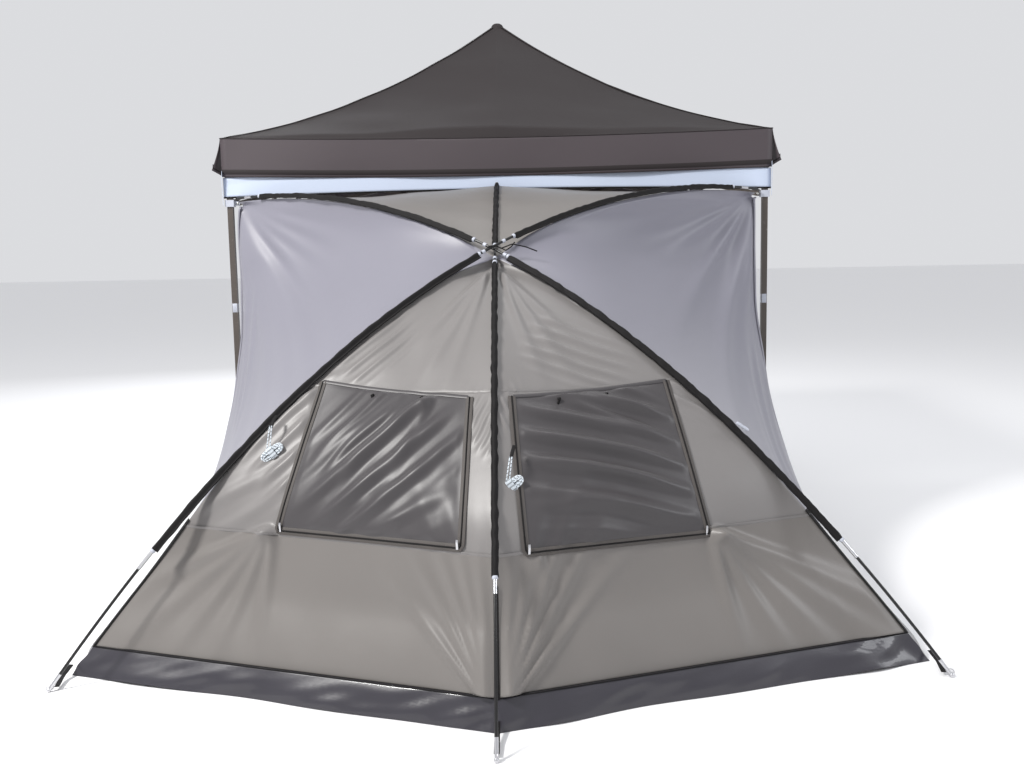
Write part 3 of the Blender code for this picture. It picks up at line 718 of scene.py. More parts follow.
def woven(name, tint, roughness, pitch, bump=0.12, sheen=0.15, mottle=0.06, cloudy=1.4, grid=0.0, **more):
    """A woven fabric. Two crossing waves on the cloth's own map make the weave, a soft noise varies its
    colour as dye and dust do, and a coarser grid can stand for ripstop threads. Pitch is the drawn
    thread spacing."""
    made, tree, main = shader(name, roughness, Sheen_Weight=sheen, Sheen_Roughness=0.45, **more)
    place = node(tree, "ShaderNodeTexCoord")
    cloth = place.outputs["UV"]
    weave = maths(tree, "MULTIPLY", *(bands(tree, way, pitch, cloth, Distortion=0.4) for way in "XY"))
    cloud = noise(tree, place, cloudy, 4.0, Roughness=0.55)
    tone = blended(tree, cloud, shaded(tint, 1 - mottle * 1.6), shaded(tint, 1 + mottle))
    feed(tree, main.inputs["Base Color"], blended(tree, 0.10, tone, weave, "MULTIPLY"))
    height = weave
    if grid:
        ribs = maths(tree, "MAXIMUM", *(bands(tree, way, grid, cloth) for way in "XY"))
        height = maths(tree, "ADD", weave, maths(tree, "POWER", ribs, 8.0))
    fine = raised(tree, height, bump, 0.0006)
    feed(tree, main.inputs["Normal"], raised(tree, noise(tree, place, 9.0, 3.0), 0.10, 0.010, Normal=fine))
    feed(tree, main.inputs["Roughness"], ranged(tree, cloud, roughness - 0.06, roughness + 0.06))
    return made


def coated(name, tint, roughness, metallic=0.0, grain=0.0015, bump=0.15, wear=0.0, worn=(0.5, 0.5, 0.5)):
    """A moulded, coated or drawn surface: a fine grain in the bump, a slow change of colour and
    roughness, and paler scuffs where a coarse noise peaks."""
    made, tree, main = shader(name, roughness, metallic)
    place = node(tree, "ShaderNodeTexCoord")
    slow = noise(tree, place, 6.0, 5.0)
    tone = blended(tree, slow, shaded(tint, 0.88), shaded(tint, 1.08))
    if wear:
        scuff = ranged(tree, noise(tree, place, 38.0, 6.0, Roughness=0.7), 0.0, wear, 0.62, 0.72)
        tone = blended(tree, scuff, tone, [*worn, 1])
    feed(tree, main.inputs["Base Color"], tone)
    feed(tree, main.inputs["Normal"], raised(tree, noise(tree, place, 1 / grain, 2.0), bump, grain / 3))
    feed(tree, main.inputs["Roughness"], ranged(tree, slow, max(0.05, roughness - 0.08), roughness + 0.08))
    return made


def braid(name, tint):
    """A braided polyester cord with a dark tracer: slanting bands on the cord's own map."""
    made, tree, main = shader(name, 0.6, Sheen_Weight=0.2)
    place = node(tree, "ShaderNodeTexCoord")
    turn = {"Rotation": (0, 0, math.radians(35))}
    slant = node(tree, "ShaderNodeMapping", turn, {"Vector": place.outputs["UV"]}).outputs[0]
    tracer = ranged(tree, bands(tree, "Y", 0.012, slant), 0.0, 1.0, 0.86, 0.95)
    feed(tree, main.inputs["Base Color"], blended(tree, tracer, [*tint, 1], [*linear("#3A4048"), 1]))
    feed(tree, main.inputs["Normal"], raised(tree, bands(tree, "Y", 0.0024, slant), 0.5, 0.0006))
    return made


def netting(name):
    """Knitted insect mesh: a dark grid of threads drawn 4 mm apart on the cloth's own map, so that it
    shows."""
    made, tree, main = shader(name, 0.7)
    place = node(tree, "ShaderNodeTexCoord")
    threads = maths(tree, "MAXIMUM", *(bands(tree, way, 0.004, place.outputs["UV"]) for way in "XY"))
    dark, light = ([*linear(code), 1] for code in ("#232325", "#4A4A4E"))
    feed(tree, main.inputs["Base Color"], blended(tree, threads, dark, light))
    feed(tree, main.inputs["Normal"], raised(tree, threads, 0.4, 0.0008))
    return made


def material(key):
    """The finish of that name, made once."""
    made = bpy.data.materials.get(key)
    if made:
        return made
    tint = bpy.context.scene.shelter_colours
    # The real threads are about 0.3 mm apart. They are drawn 2 to 4 mm apart, so that they show at this size.
    makers = {
        # Polyurethane-coated polyester: a dull face with a faint plain weave.
        "canopy polyester": lambda: woven(
            key, tint.canopy, 0.66, 0.0025, 0.22, 0.0, 0.07, Specular_IOR_Level=0.25),
        # Polyester taffeta, calendered: a soft satin shine that follows the folds.
        "valance polyester": lambda: woven(key, tint.valance, 0.5, 0.0025, 0.2, 0.1, 0.06),
        "side nylon": lambda: woven(key, tint.side, 0.42, 0.0022, 0.10, 0.12, 0.035, grid=0.007),
        "front nylon": lambda: woven(key, tint.front, 0.42, 0.0022, 0.10, 0.10, 0.045, grid=0.007),
        "skirt nylon": lambda: woven(key, tint.skirt, 0.40, 0.0022, 0.10, 0.10, 0.05, grid=0.007),
        "cover nylon": lambda: woven(key, tint.cover, 0.42, 0.0022, 0.12, 0.08, 0.07),
        # Woven polyethylene with a film on it: a tighter, harder gloss than the walls.
        "tub polyethylene": lambda: woven(key, tint.tub, 0.33, 0.004, 0.3, 0.05, 0.12, 3.0, Coat_Weight=0.25),
        "sleeve polyester": lambda: woven(
            key, tint.sleeve, 0.68, 0.002, 0.3, 0.0, 0.1, Specular_IOR_Level=0.25),
        "zip tape": lambda: woven(key, tint.tape, 0.6, 0.002, 0.5, 0.15, 0.16, 14.0),
        "band polyester": lambda: woven(key, tint.band, 0.5, 0.0025, 0.15, 0.3, 0.03),
        # Powder coat on square steel tube: a fine orange peel with a few scuffs.
        "powder coated steel": lambda: coated(
            key, tint.steel, 0.42, 0.0, 0.0022, 0.2, 0.5, (0.36, 0.34, 0.33)),
        # Injection-moulded nylon: even, slightly waxy, with a spark-eroded grain.
        "moulded nylon": lambda: coated(key, tint.moulding, 0.42, 0.0, 0.0014, 0.15),
        # Pultruded fibreglass: a hard dark gloss broken by fine lengthwise glass.
        "fibreglass": lambda: coated(key, tint.pole, 0.3, 0.0, 0.0012, 0.25, 0.3, (0.12, 0.115, 0.115)),
        # Drawn aluminium: bright, with a fine brushed grain.
        "drawn aluminium": lambda: coated(key, tint.ferrule, 0.3, 1.0, 0.0009, 0.2),
        "zinc plated steel": lambda: coated(key, linear("#B5B5B2"), 0.35, 1.0, 0.0012, 0.2),
        "braided rope": lambda: braid(key, tint.rope),
        "insect mesh": lambda: netting(key),
    }
    return makers[key]()


# ---- operators -----------------------------------------------------------------------------------
class SHELTER_OT_stage(bpy.types.Operator):
    """Makes the camera, the pale floor and the studio lights"""

    bl_idname = "shelter.stage"
    bl_label = "Stage"

    def execute(self, context):
        scene = context.scene
        tint = scene.shelter_colours
        lens = bpy.data.cameras.new("camera")
        camera = bpy.data.objects.new("camera", lens)
        scene.collection.objects.link(camera)
        lens.sensor_width, lens.lens = 36, 39.19
        camera.location = (0.092, FRONT_Y - 6.07, 1.70)
        turn = Matrix.Rotation(0.00517, 3, "Z") @ Matrix.Rotation(math.pi / 2 - 0.12775, 3, "X")
        camera.rotation_euler = (turn @ Matrix.Rotation(-0.01864, 3, "Z")).to_euler()
        scene.camera = camera

        ground_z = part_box("tent_floor")[0].z - 0.0005
        x, y = np.meshgrid([-60.0, 60.0], [-60.0, 60.0])
        ground, tree, main = shader("studio floor", 0.85)
        grain = node(tree, "ShaderNodeTexNoise", {"Scale": 0.7, "Detail": 3.0}).outputs["Fac"]
        tone = blended(tree, grain, shaded(tint.floor, 0.98), [*tint.floor, 1])
        feed(tree, main.inputs["Base Color"], tone)
        floor = build("floor", [np.stack([x, y, np.full_like(x, ground_z)], -1)], ground)
        face_out(floor, (0, 0, -5))

        world = bpy.data.worlds.new("studio")
        world.use_nodes = True
        sky = world.node_tree.nodes["Background"].inputs
        sky["Color"].default_value, sky["Strength"].default_value = (0.96, 0.97, 1.0, 1), 0.74
        scene.world = world
        scene.view_settings.view_transform = "Standard"  # so that a colour shows as its own sRGB value
        for name, place, size, power, hue in (
            ("key", (-5.0, -5.0, 7.0), 1.4, 820, (1.0, 0.985, 0.96)),
            ("side", (7.0, -3.0, 4.0), 2.0, 110, (0.95, 0.97, 1.0)),
            ("top", (1.0, 1.5, 9.0), 4.0, 110, (1.0, 1.0, 1.0)),
            ("back", (-3.0, 8.0, 5.0), 4.0, 200, (0.95, 0.97, 1.0)),
        ):
            lamp = bpy.data.lights.new(name, "AREA")
            lamp.size, lamp.energy, lamp.color = size, power, hue
            holder = bpy.data.objects.new(name, lamp)
            scene.collection.objects.link(holder)
            holder.location = place
            aim = Vector((0, -0.4, 1.0)) - Vector(place)
            holder.rotation_euler = aim.to_track_quat("-Z", "Y").to_euler()
        return {"FINISHED"}


def hank_frame(node_name):
    """A CAD bundle's middle, its long way and its short way."""
    low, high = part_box(node_name)
    middle = np.array([(low.x + high.x) / 2, (low.y + high.y) / 2, high.z - 0.12])
    tilt = math.radians(36)
    cosine, sine = math.cos(tilt), math.sin(tilt)
    return middle, np.array([cosine, 0, sine]), np.array([-sine, 0, cosine])


def hank_route(node_name, diameter, seed):
    """A guy rope's centreline. One strand hangs from the tab, the rest winds round and round a slot
    shape, and the other strand goes back up. A turn is two straight runs with half circles between
    them. Each turn lies a diameter beside the last, three to a layer, and each layer lies nine tenths
    of a diameter outside the one before. The runs' lengths vary by up to 2 mm."""
    middle, long_way, short_way = hank_frame(node_name)
    turns = 12
    k = np.linspace(0, turns, turns * 36 + 1)
    layer = k / 3
    radius = 0.0045 + 0.9 * diameter * (np.floor(layer) + smooth((layer % 1 - 0.9) / 0.1))
    depth = diameter * 1.02 * (1.5 - 3 * np.abs((layer + 1) % 2 - 1))
    uneven = np.random.default_rng(seed).uniform(-0.002, 0.002, turns + 1)
    run = 0.070 + np.interp(k, np.arange(turns + 1), uneven)
    leg, frac = np.floor((k % 1) * 4).astype(int), (k % 1) * 4 % 1
    bend = math.pi * frac
    along = np.choose(leg, [run * (frac - 0.5), run / 2 + radius * np.sin(bend),
                            run * (0.5 - frac), -run / 2 - radius * np.sin(bend)])
    across = np.choose(leg, [-radius, -radius * np.cos(bend), radius, radius * np.cos(bend)])
    coil = middle + along[:, None] * long_way + across[:, None] * short_way
    coil = coil + depth[:, None] * np.array([0, 1, 0])
    rise = np.linspace(0, 1, 14)[:, None]
    top = middle + [0, 0, 0.108]
    down = coil[0] + (top + [-0.004, 0, 0] - coil[0]) * rise[::-1]
    down[:, 1] -= 0.010 * np.sin(rise[:, 0] * math.pi)
    back = coil[-1] + (top + [0.004, 0, 0] - coil[-1]) * rise
    back[:, 1] -= 0.006 * np.sin(rise[:, 0] * math.pi)
    route = np.concatenate([down[:-1], coil, back[1:]])
    for _ in range(5):  # rounds off the kinks where the strands meet the coil
        route[1:-1] = (route[:-2] + 2 * route[1:-1] + route[2:]) / 4
    return route


class SHELTER_OT_guy_ropes(bpy.types.Operator):
    """Winds the guy ropes that hang bundled from the poles"""

    bl_idname = "shelter.guy_ropes"
    bl_label = "Guy ropes"

    def execute(self, context):
        thick = context.scene.shelter_sizes.rope
        for label, seed in (("left", 1), ("middle", 2)):
            node_name = f"guy_hank_{label}"
            route = hank_route(node_name, thick, seed)
            body = sweep(route, round_profile(thick / 2, 8), (0.02, 1, 0.03))
            rope = sewn(f"guy_rope_{label}", [body], "braided rope", [node_name])
            middle, long_way, short_way = hank_frame(node_name)
            turn = np.linspace(0, 2 * math.pi, 41)
            power = (np.abs(np.cos(turn)) ** 6 + np.abs(np.sin(turn)) ** 6) ** (-1 / 6)
            wraps = []
            for k in range(-2, 3):
                loop = middle + 0.0052 * k * long_way + (0.0232 * power * np.cos(turn))[:, None] * short_way
                loop = loop + (0.0128 * power * np.sin(turn))[:, None] * np.array([0, 1, 0])
                wraps.append(sweep(loop, round_profile(thick / 2, 8), long_way))
            sewn(f"guy_wrap_{label}", wraps, "braided rope")
            top = middle + [0, 0, 0.112]
            tab_path = top + np.array([[0, 0.004, -0.012], [0.006, 0.02, 0.012], [0.014, 0.05, 0.03]])
            tab = sweep(resample(tab_path, 8), slab_profile(0.014, 0.002), (0, -0.5, 1))
            sewn(f"guy_tab_{label}", [tab], "sleeve polyester")
        spot = at_heights(POLE_B[:150], np.array([0.93]))[0] + [0.012, -0.030, 0.020]
        end = [(0.012, 0.008), (0.029, 0.006), (0.030, 0)]
        bead = [*((-along, radius) for along, radius in reversed(end)), (0, 0.006), *end]
        sewn("guy_toggle_right", [turned(spot, (0.8, 0.1, -0.55), bead)], "moulded nylon")
        return {"FINISHED"}


def canopy_grid(out, sizes, rows=64, columns=97):
    """One roof face with its valance. Up the face, the roof's height is linear * v + (1 - linear) * v
    squared of the rise; across it, the half width is the reach. A soft crease runs up the middle, the
    face sags between its hips, and the valance waves and flares at its ends."""
    out = np.array([out[0], out[1], 0.0])
    along = np.array([-out[1], out[0], 0.0])
    v = np.concatenate([np.zeros(VALANCE_ROWS), np.linspace(0, ROOF_END, rows)])
    drop = np.concatenate([np.linspace(1, 0, VALANCE_ROWS + 1)[:-1], np.zeros(rows)])
    c = np.linspace(-1, 1, columns)
    V, C = np.meshgrid(v, c, indexing="ij")
    D = np.broadcast_to(drop[:, None], V.shape)
    reach = EAVE_HALF * (1 - V)
    height = EAVE_Z + (PEAK_Z - EAVE_Z) * (ROOF_LINEAR * V + (1 - ROOF_LINEAR) * V * V)
    height = height - D * (EAVE_Z - VALANCE_Z)
    half = reach - 0.0015
    roof = smooth(V / 0.04) * smooth((ROOF_END - V) / 0.3)
    crease = 0.075 * (1 - np.abs(C)) * roof * (out[1] < 0) - 0.02 * (1 - C * C) * roof
    droop = -0.022 * (1 - C * C) * (1 - smooth(V / 0.25))
    seed = int(out[0] * 3 + out[1])
    push_out = D * sizes.valance_wave * (0.5 + undulation(C * 1.5 + 3, 0 * C, 71 + seed, 0.5, 1.6, 6))
    ends = smooth((np.abs(C) - 0.93) / 0.07) * D**1.3
    flare, lift = 0.055 * ends * (out[0] != 0), 0.035 * ends * (out[0] != 0)
    hold = 1 - 0.8 * smooth((np.abs(C) - 0.9) / 0.1)
    reach = reach + push_out * hold + flare - 0.006 * D
    wrinkle = 0.0025 * undulation(C * reach, V * 2, 90 + seed, 0.3, 1.0) * roof
    grid = np.array([0, MIDDLE_Y, 0]) + reach[..., None] * out + (half * C)[..., None] * along
    grid[..., 2] += height + droop + lift
    lift_way = unit(out * 0.5 + np.array([0, 0, 1]))
    return grid + (crease + wrinkle)[..., None] * lift_way


class SHELTER_OT_canopy(bpy.types.Operator):
    """Sews the four roof faces with their valances, hems and hip seams"""

    bl_idname = "shelter.canopy"
    bl_label = "Canopy"

    def execute(self, context):
        sizes = context.scene.shelter_sizes
        cloth = material("canopy polyester")
        for side, out in SIDES.items():
            along, outward_way = (-out[1], out[0], 0), (out[0], out[1], 0)

            def hang(piece):
                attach(piece, f"canopy_{side}")
                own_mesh(piece)

            grid = canopy_grid(out, sizes)
            face = build(f"canopy_cloth_{side}", [grid], cloth)
            face_out(face, (0, MIDDLE_Y, 1.6))
            thicken(face, CANOPY_THICK)
            face.data.materials.append(material("valance polyester"))
            mark = np.zeros(len(face.data.polygons), np.int32)
            mark[: VALANCE_ROWS * (grid.shape[1] - 1)] = 1
            face.data.polygons.foreach_set("material_index", mark)
            hang(face)
            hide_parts(f"canopy_{side}")
            # The hem is a folded strip along the valance's foot, and the piping covers the seam at the eave.
            foot = grid[2] + CANOPY_THICK * np.array(outward_way)
            hem = [sweep(foot, slab_profile(0.024, 0.0022), outward_way)]
            row = int(np.argmax(grid[:, 0, 2] >= EAVE_Z - 0.002))
            hem.append(sweep(grid[row] + [0, 0, 0.0012], round_profile(0.0028, 8), outward_way))
            hang(build(f"canopy_hem_{side}", hem, cloth, wrap=True, weld=True))
            if out[1]:
                hips = []
                for column, sign in ((0, -1), (-1, 1)):
                    edge = grid[row:, column] + [0, 0, 0.0014]
                    away = unit(np.array(outward_way) + sign * np.array(along)) * 0.5 + [0, 0, 1]
                    hips.append(sweep(edge, slab_profile(0.020, 0.0018), away))
                hang(build(f"canopy_hip_tape_{side}", hips, cloth, wrap=True, weld=True))
        dome = [
            (-0.066, 0.066), (-0.044, 0.052), (-0.020, 0.041), (-0.005, 0.032), (0.003, 0.019), (0.0045, 0),
        ]
        cap = turned((0, MIDDLE_Y, MAST_TOP_Z), (0, 0, 1), dome, 28)
        crown = build("canopy_cap", [cap], cloth, wrap=True, weld=True)
        thicken(crown, CANOPY_THICK)
        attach(crown, "root")
        return {"FINISHED"}


class SHELTER_OT_band(bpy.types.Operator):
    """Hangs the pale band under the valance, its dark edge and the corner ties"""

    bl_idname = "shelter.band"
    bl_label = "Band"

    def execute(self, context):
        sizes = context.scene.shelter_sizes
        top = VALANCE_Z + 0.015
        heights = np.linspace(top - sizes.band - 0.010, top, 9)
        x = np.linspace(-EAVE_HALF + 0.004, EAVE_HALF - 0.004, 121)
        X, Z = np.meshgrid(x, heights)
        dip = 0.020 * (X / EAVE_HALF) ** 2
        depth = 0.003 * undulation(X, Z, 5, 0.4, 1.1)
        y = -EAVE_HALF + MIDDLE_Y + 0.014 + depth * (Z < top - 0.02)
        grid = np.stack([X, y, Z - dip], -1)
        band = skin("band_cloth", grid, "band polyester", sizes.fabric, "cord")
        edge = grid[0] + [0, -0.002, 0]
        sewn("band_piping", [sweep(edge, round_profile(0.0042, 8), (0, -1, 0))], "sleeve polyester")
        ties = []
        for side in (-1, 1):
            leg = np.array([side * HALF, FRONT_Y, 0])
            path = np.array([
                leg + [side * 0.030, -0.036, VALANCE_Z + 0.03],
                leg + [side * 0.034, -0.030, VALANCE_Z - 0.03],
                leg + [side * 0.033, -0.024, LEG_TOP_Z - 0.255],
                leg + [side * 0.032, -0.026, LEG_TOP_Z - 0.30],
            ])
            ties.append(sweep(resample(path, 16), slab_profile(0.024, 0.0014), (side, -0.3, 0)))
        sewn("band_ties", ties, "band polyester")
        return {"FINISHED"}


class SHELTER_OT_tent_skin(bpy.types.Operator):
    """Sews the tent's front, side and top panels, with their seams and bindings"""

    bl_idname = "shelter.tent_skin"
    bl_label = "Tent skin"

    def execute(self, context):
        sizes = context.scene.shelter_sizes
        cuts = (("skirt", SKIRT_Z, sizes.seam_low, "skirt nylon", 70),
                ("front", sizes.seam_low, sizes.seam_high, "front nylon", 84),
                ("upper", sizes.seam_high, CROSS[2], "front nylon", 70))
        stands_for = ["tent_shell"]
        for side, label in ((-1, "left"), (1, "right")):
            for part, low, high, cloth, rows in cuts:
                flat, share = front_grid(np.linspace(low, high, rows), 150, side)
                grid = push(flat, front_relief(flat[..., 0], flat[..., 2], side, share, sizes), share)
                piece = skin(f"{part}_panel_{label}", grid, cloth, sizes.fabric, replaces=stands_for)
                stands_for = []
                if part != "skirt":
                    lap = grid[0] + 0.0012 * normals(grid, INSIDE)[0]
                    seam = sweep(lap, slab_profile(0.012, 0.0014), lap - INSIDE)
                    sewn(f"{part}_seam_{label}", [seam], cloth)
            self.side_panel(side, label, sizes)
            self.top_panel(side, label, sizes)
        return {"FINISHED"}

    def side_panel(self, side, label, sizes):
        """The side panel between the back edge and the poles: one piece below the crossing and one
        above."""
        low_edge, high_edge = (EDGES[key] for key in (("a_low", "b_up") if side < 0 else ("b_low", "a_up")))
        turn = 1 if side < 0 else MIRROR
        columns, rows = 140, 70
        heights = np.linspace(SKIRT_Z, CROSS[2], 110)
        rising = np.linspace(CROSS[2], FABRIC_TOP[2], rows)
        flat = np.concatenate([
            ruled(back_edge(heights), at_heights(low_edge, heights), columns),
            ruled(back_edge(rising), resample(high_edge, rows), columns)[1:],
        ]) * turn
        flat = soap(flat, 500)
        share = np.broadcast_to(np.linspace(0, 1, columns), flat.shape[:2])
        relief = side_relief(flat[..., 0], flat[..., 2], side, share, sizes)
        curl = -0.030 * (1 - smooth(share / 0.05)) * smooth((FABRIC_TOP[2] - flat[..., 2]) / 0.5)
        grid = push(flat, relief, share * 0.97 + 0.03)
        grid[..., 0] += side * curl * 0.25
        piece = skin(f"side_panel_{label}", grid, "side nylon", sizes.fabric)
        hem_path = grid[:, 0] + [side * 0.0015, -0.004, 0]
        hem = sweep(hem_path[::3], slab_profile(0.022, 0.0024), (side, -0.6, 0))
        sewn(f"side_hem_{label}", [hem], "side nylon")

    def top_panel(self, side, label, sizes):
        """A top panel from the crossing out to the back edge, between a side pole and the middle
        pole."""
        outer = EDGES["b_up"] if side < 0 else EDGES["a_up"]
        turn = 1 if side < 0 else MIRROR
        flat = ruled(resample(outer, 90), resample(EDGES["c_up"], 90), 90) * turn
        share = np.broadcast_to(np.linspace(0, 1, 90), flat.shape[:2])
        waves = undulation(flat[..., 0], flat[..., 1], 51 + side, 0.2, 0.6)
        relief = -0.6 * sizes.sag * 4 * share * (1 - share) + 0.0022 * waves
        piece = skin(f"top_panel_{label}", push(flat, relief, share), "skirt nylon", sizes.fabric)


class SHELTER_OT_windows(bpy.types.Operator):
    """Zips the two window covers on, with their tape, coils, pulls and toggles"""

    bl_idname = "shelter.windows"
    bl_label = "Windows"

    def execute(self, context):
        sizes = context.scene.shelter_sizes
        for side, label in ((-1, "left"), (1, "right")):
            across, up = np.meshgrid(np.linspace(0, 1, 150), np.linspace(0, 1, 120))
            outer_top, inner_top, inner_low, outer_low = (np.array(c) for c in WINDOWS[side])
            low = outer_low + (inner_low - outer_low) * across[..., None]
            high = outer_top + (inner_top - outer_top) * across[..., None]
            place = low + (high - low) * up[..., None]
            grid, share = front_point(place[..., 0], place[..., 1], side)
            x, z = grid[..., 0], grid[..., 2]
            normal = normals(grid, INSIDE)
            frame_grid = push(grid, front_relief(x, z, side, share, sizes), share)
            relief = folded(0, x, z, COVER_FOLDS[side]) * sizes.pleat
            puff = 0.016 * np.sin(math.pi * across) * np.sin(math.pi * up) ** 0.6
            pinned = held(across, 0.06) * smooth(up / 0.06) * smooth((1 - up) / 0.03)
            cover = frame_grid + (0.0045 + (relief + puff) * pinned)[..., None] * normal
            piece = skin(f"window_cover_{label}", cover, "cover nylon", 0.001)
            rim = frame_grid + 0.0055 * normal
            border, away = (np.concatenate([g[::-1, 0], g[0, 1:], g[1:, -1]])[::3] for g in (rim, normal))
            sewn(f"window_tape_{label}", [sweep(border, slab_profile(0.030, 0.0026), away)], "zip tape")
            teeth = sweep(border + 0.0016 * away, round_profile(0.0032, 8), away)
            sewn(f"window_zip_{label}", [teeth], "sleeve polyester")
            top, lift = rim[-1, ::3], normal[-1, ::3]
            seam = sweep(top + 0.0005 * lift, slab_profile(0.016, 0.0024), lift)
            sewn(f"window_top_seam_{label}", [seam], "cover nylon")
            self.toggles(label, cover, normal)
        return {"FINISHED"}

    def toggles(self, label, cover, normal):
        """Two toggles at the cover's top edge, each with its elastic loop, and two zip pulls at its
        lower corners."""
        parts, pulls = [], []
        end = [(0.008, 0.0055), (0.018, 0.004), (0.019, 0)]
        bead = [*((-along, radius) for along, radius in reversed(end)), (0, 0.004), *end]
        for share in (0.36, 0.70) if label == "left" else (0.42, 0.72):
            k = int(share * 149)
            spot, away = cover[-6, k], normal[-6, k]
            parts.append(turned(spot + 0.014 * away - [0, 0, 0.022], unit(np.array([0.35, 0, 1.0])), bead))
            loop = np.array([
                spot + 0.004 * away,
                spot + 0.016 * away - [0.004, 0, 0.012],
                spot + 0.018 * away - [0, 0, 0.022],
                spot + 0.016 * away - [-0.005, 0, 0.012],
                spot + 0.004 * away + [0.004, 0, 0],
            ])
            parts.append(sweep(resample(loop, 22), round_profile(0.0018, 6), away))
        sewn(f"window_toggles_{label}", parts, "sleeve polyester")
        for k in (2, 147):
            spot, away = cover[4, k], normal[4, k]
            near = spot + 0.010 * away
            path = np.array([near + [0, 0, 0.012], spot + 0.012 * away, near - [0, 0, 0.024]])
            pulls.append(sweep(resample(path, 8), slab_profile(0.009, 0.003), away))
        sewn(f"window_pulls_{label}", pulls, "drawn aluminium")


def closed_outline(corners, count=60):
    """Points at even steps along each side of a closed outline."""
    ends = zip(corners, np.roll(corners, -1, axis=0))
    return np.concatenate([np.linspace(a, b, count, endpoint=False) for a, b in ends])


class SHELTER_OT_tent_floor(bpy.types.Operator):
    """Makes the dark floor tub with its turned-up walls and its ground sheet"""

    bl_idname = "shelter.tent_floor"
    bl_label = "Tent floor"

    def execute(self, context):
        # The outline at ground level goes anticlockwise from the left rear corner, and the rim above it too.
        right_corner, rear_corner = CORNER * MIRROR, np.array([REAR_CORNER_X, BACK_Y, 0])
        ground = [rear_corner * MIRROR, CORNER, NEAR_CORNER, right_corner, rear_corner]
        outline = closed_outline(np.array(ground)[:, :2])
        level = np.array([SKIRT_Z - 0.0005])
        edges = (LOW_EDGES[-1], EDGES["c_low"], LOW_EDGES[1])
        left, near, right = (at_heights(edge, level)[0] for edge in edges)
        rear = back_edge(level)[0]
        rim = closed_outline(np.array([rear, left, near, right, rear * MIRROR]))
        around = np.linspace(0, 1, len(outline), endpoint=False)
        middle = np.array([0, (BACK_Y + NEAR_CORNER[1]) / 2 + 0.2])
        way = unit(outline - middle)
        corner_near = np.abs((around * 5 + 0.5) % 1 - 0.5) * 2  # 0 at a corner, 1 halfway along a side
        free = smooth(corner_near / 0.35)
        wave = undulation(around * 11, 0 * around, 61, 0.7, 2.1, 7)
        wave = wave * free
        rows = []
        for share in np.linspace(0, 1, 14):
            ease = np.sin(share * math.pi)
            line = rim[:, :2] * (1 - share) + outline * share
            belly = (0.026 * share * wave + 0.010 * ease) * free
            fine = 0.005 * ease * undulation(around * 30, share * 0.8 + 0 * around, 62, 0.4, 1.2, 8)
            pucker = 0.010 * ease * (1 - free) * np.sin(around * 5 * 2 * math.pi * 9)
            lift = share**2 * 0.012 * np.maximum(wave, 0) * free
            z = rim[:, 2] * (1 - share) + lift + 0.001
            rows.append(np.column_stack([line + (belly + fine + pucker)[:, None] * way, z]))
        under = rows[-1].copy()
        for share in (0.012, 0.03, 0.06, 0.12, 0.25, 0.4, 0.6, 0.8, 0.95, 1.0):
            flat = under[:, :2] * (1 - share) + middle * share
            z = under[:, 2] * np.exp(-share * 40) + 0.0035 * (1 - np.exp(-share * 40))
            swell = np.maximum(undulation(flat[:, 0], flat[:, 1], 63, 0.3, 0.9), 0)
            z = z + 0.0022 * smooth(share / 0.1) * swell * (share < 1)
            rows.append(np.column_stack([flat, z]))
        grid = np.array(rows)
        tub = build("floor_tub", [grid], material("tub polyethylene"), wrap=True, weld=True)
        face_out(tub, (0, middle[1], 0.3))
        tent_piece(thicken(tub, 0.0012, 1), ["tent_floor"])
        binding = np.concatenate([rim, rim[:1]])
        tape = sweep(binding[::2], slab_profile(0.014, 0.0022), (0.0, -0.2, 1.0))
        sewn("tub_binding", [tape], "sleeve polyester")
        return {"FINISHED"}


def sleeve_profile(width):
    """A sleeve's cross-section: a flat flange against the fabric that swells over the pole, as a bell
    curve."""
    across = np.linspace(-width / 2, width / 2, 17)
    top = -0.010 + 0.0185 * np.exp(-((across / 0.0105) ** 4)) + 0.0012
    under = np.full(17, -0.0125)
    return np.concatenate([np.stack([across, top], -1), np.stack([across[::-1], under], -1)])[::-1]


def gathered(path, away, width, seed):
    """A fabric sleeve along a pole: the flat-and-swell section, puckered along its length by up to 2
    mm."""
    body = sweep(path, sleeve_profile(width), away)
    along = np.linspace(0, len(path) * POINT_STEP, len(body))[:, None]
    pucker = 0.0016 * undulation(along, np.linspace(0, 0.1, body.shape[1])[None], seed, 0.03, 0.12)
    middle = body.mean(axis=1, keepdims=True)
    return body + pucker[..., None] * unit(body - middle)


POLE_LENGTH = np.linalg.norm(np.diff(POLE_A, axis=0), axis=1).sum()
POLE_CROSS = distances(POLE_A)[int(np.argmax(POLE_A[:, 0] > 0))]  # along a side pole to the crossing
SLEEVE_START = 0.665  # along a side pole from its foot
SLEEVE_OPEN = 0.105  # bare pole on each side of the crossing
SLEEVE_END = 0.20  # bare pole at the top end
POLE_LIFT = (0, -0.6, 0.8)  # any direction that no pole runs along


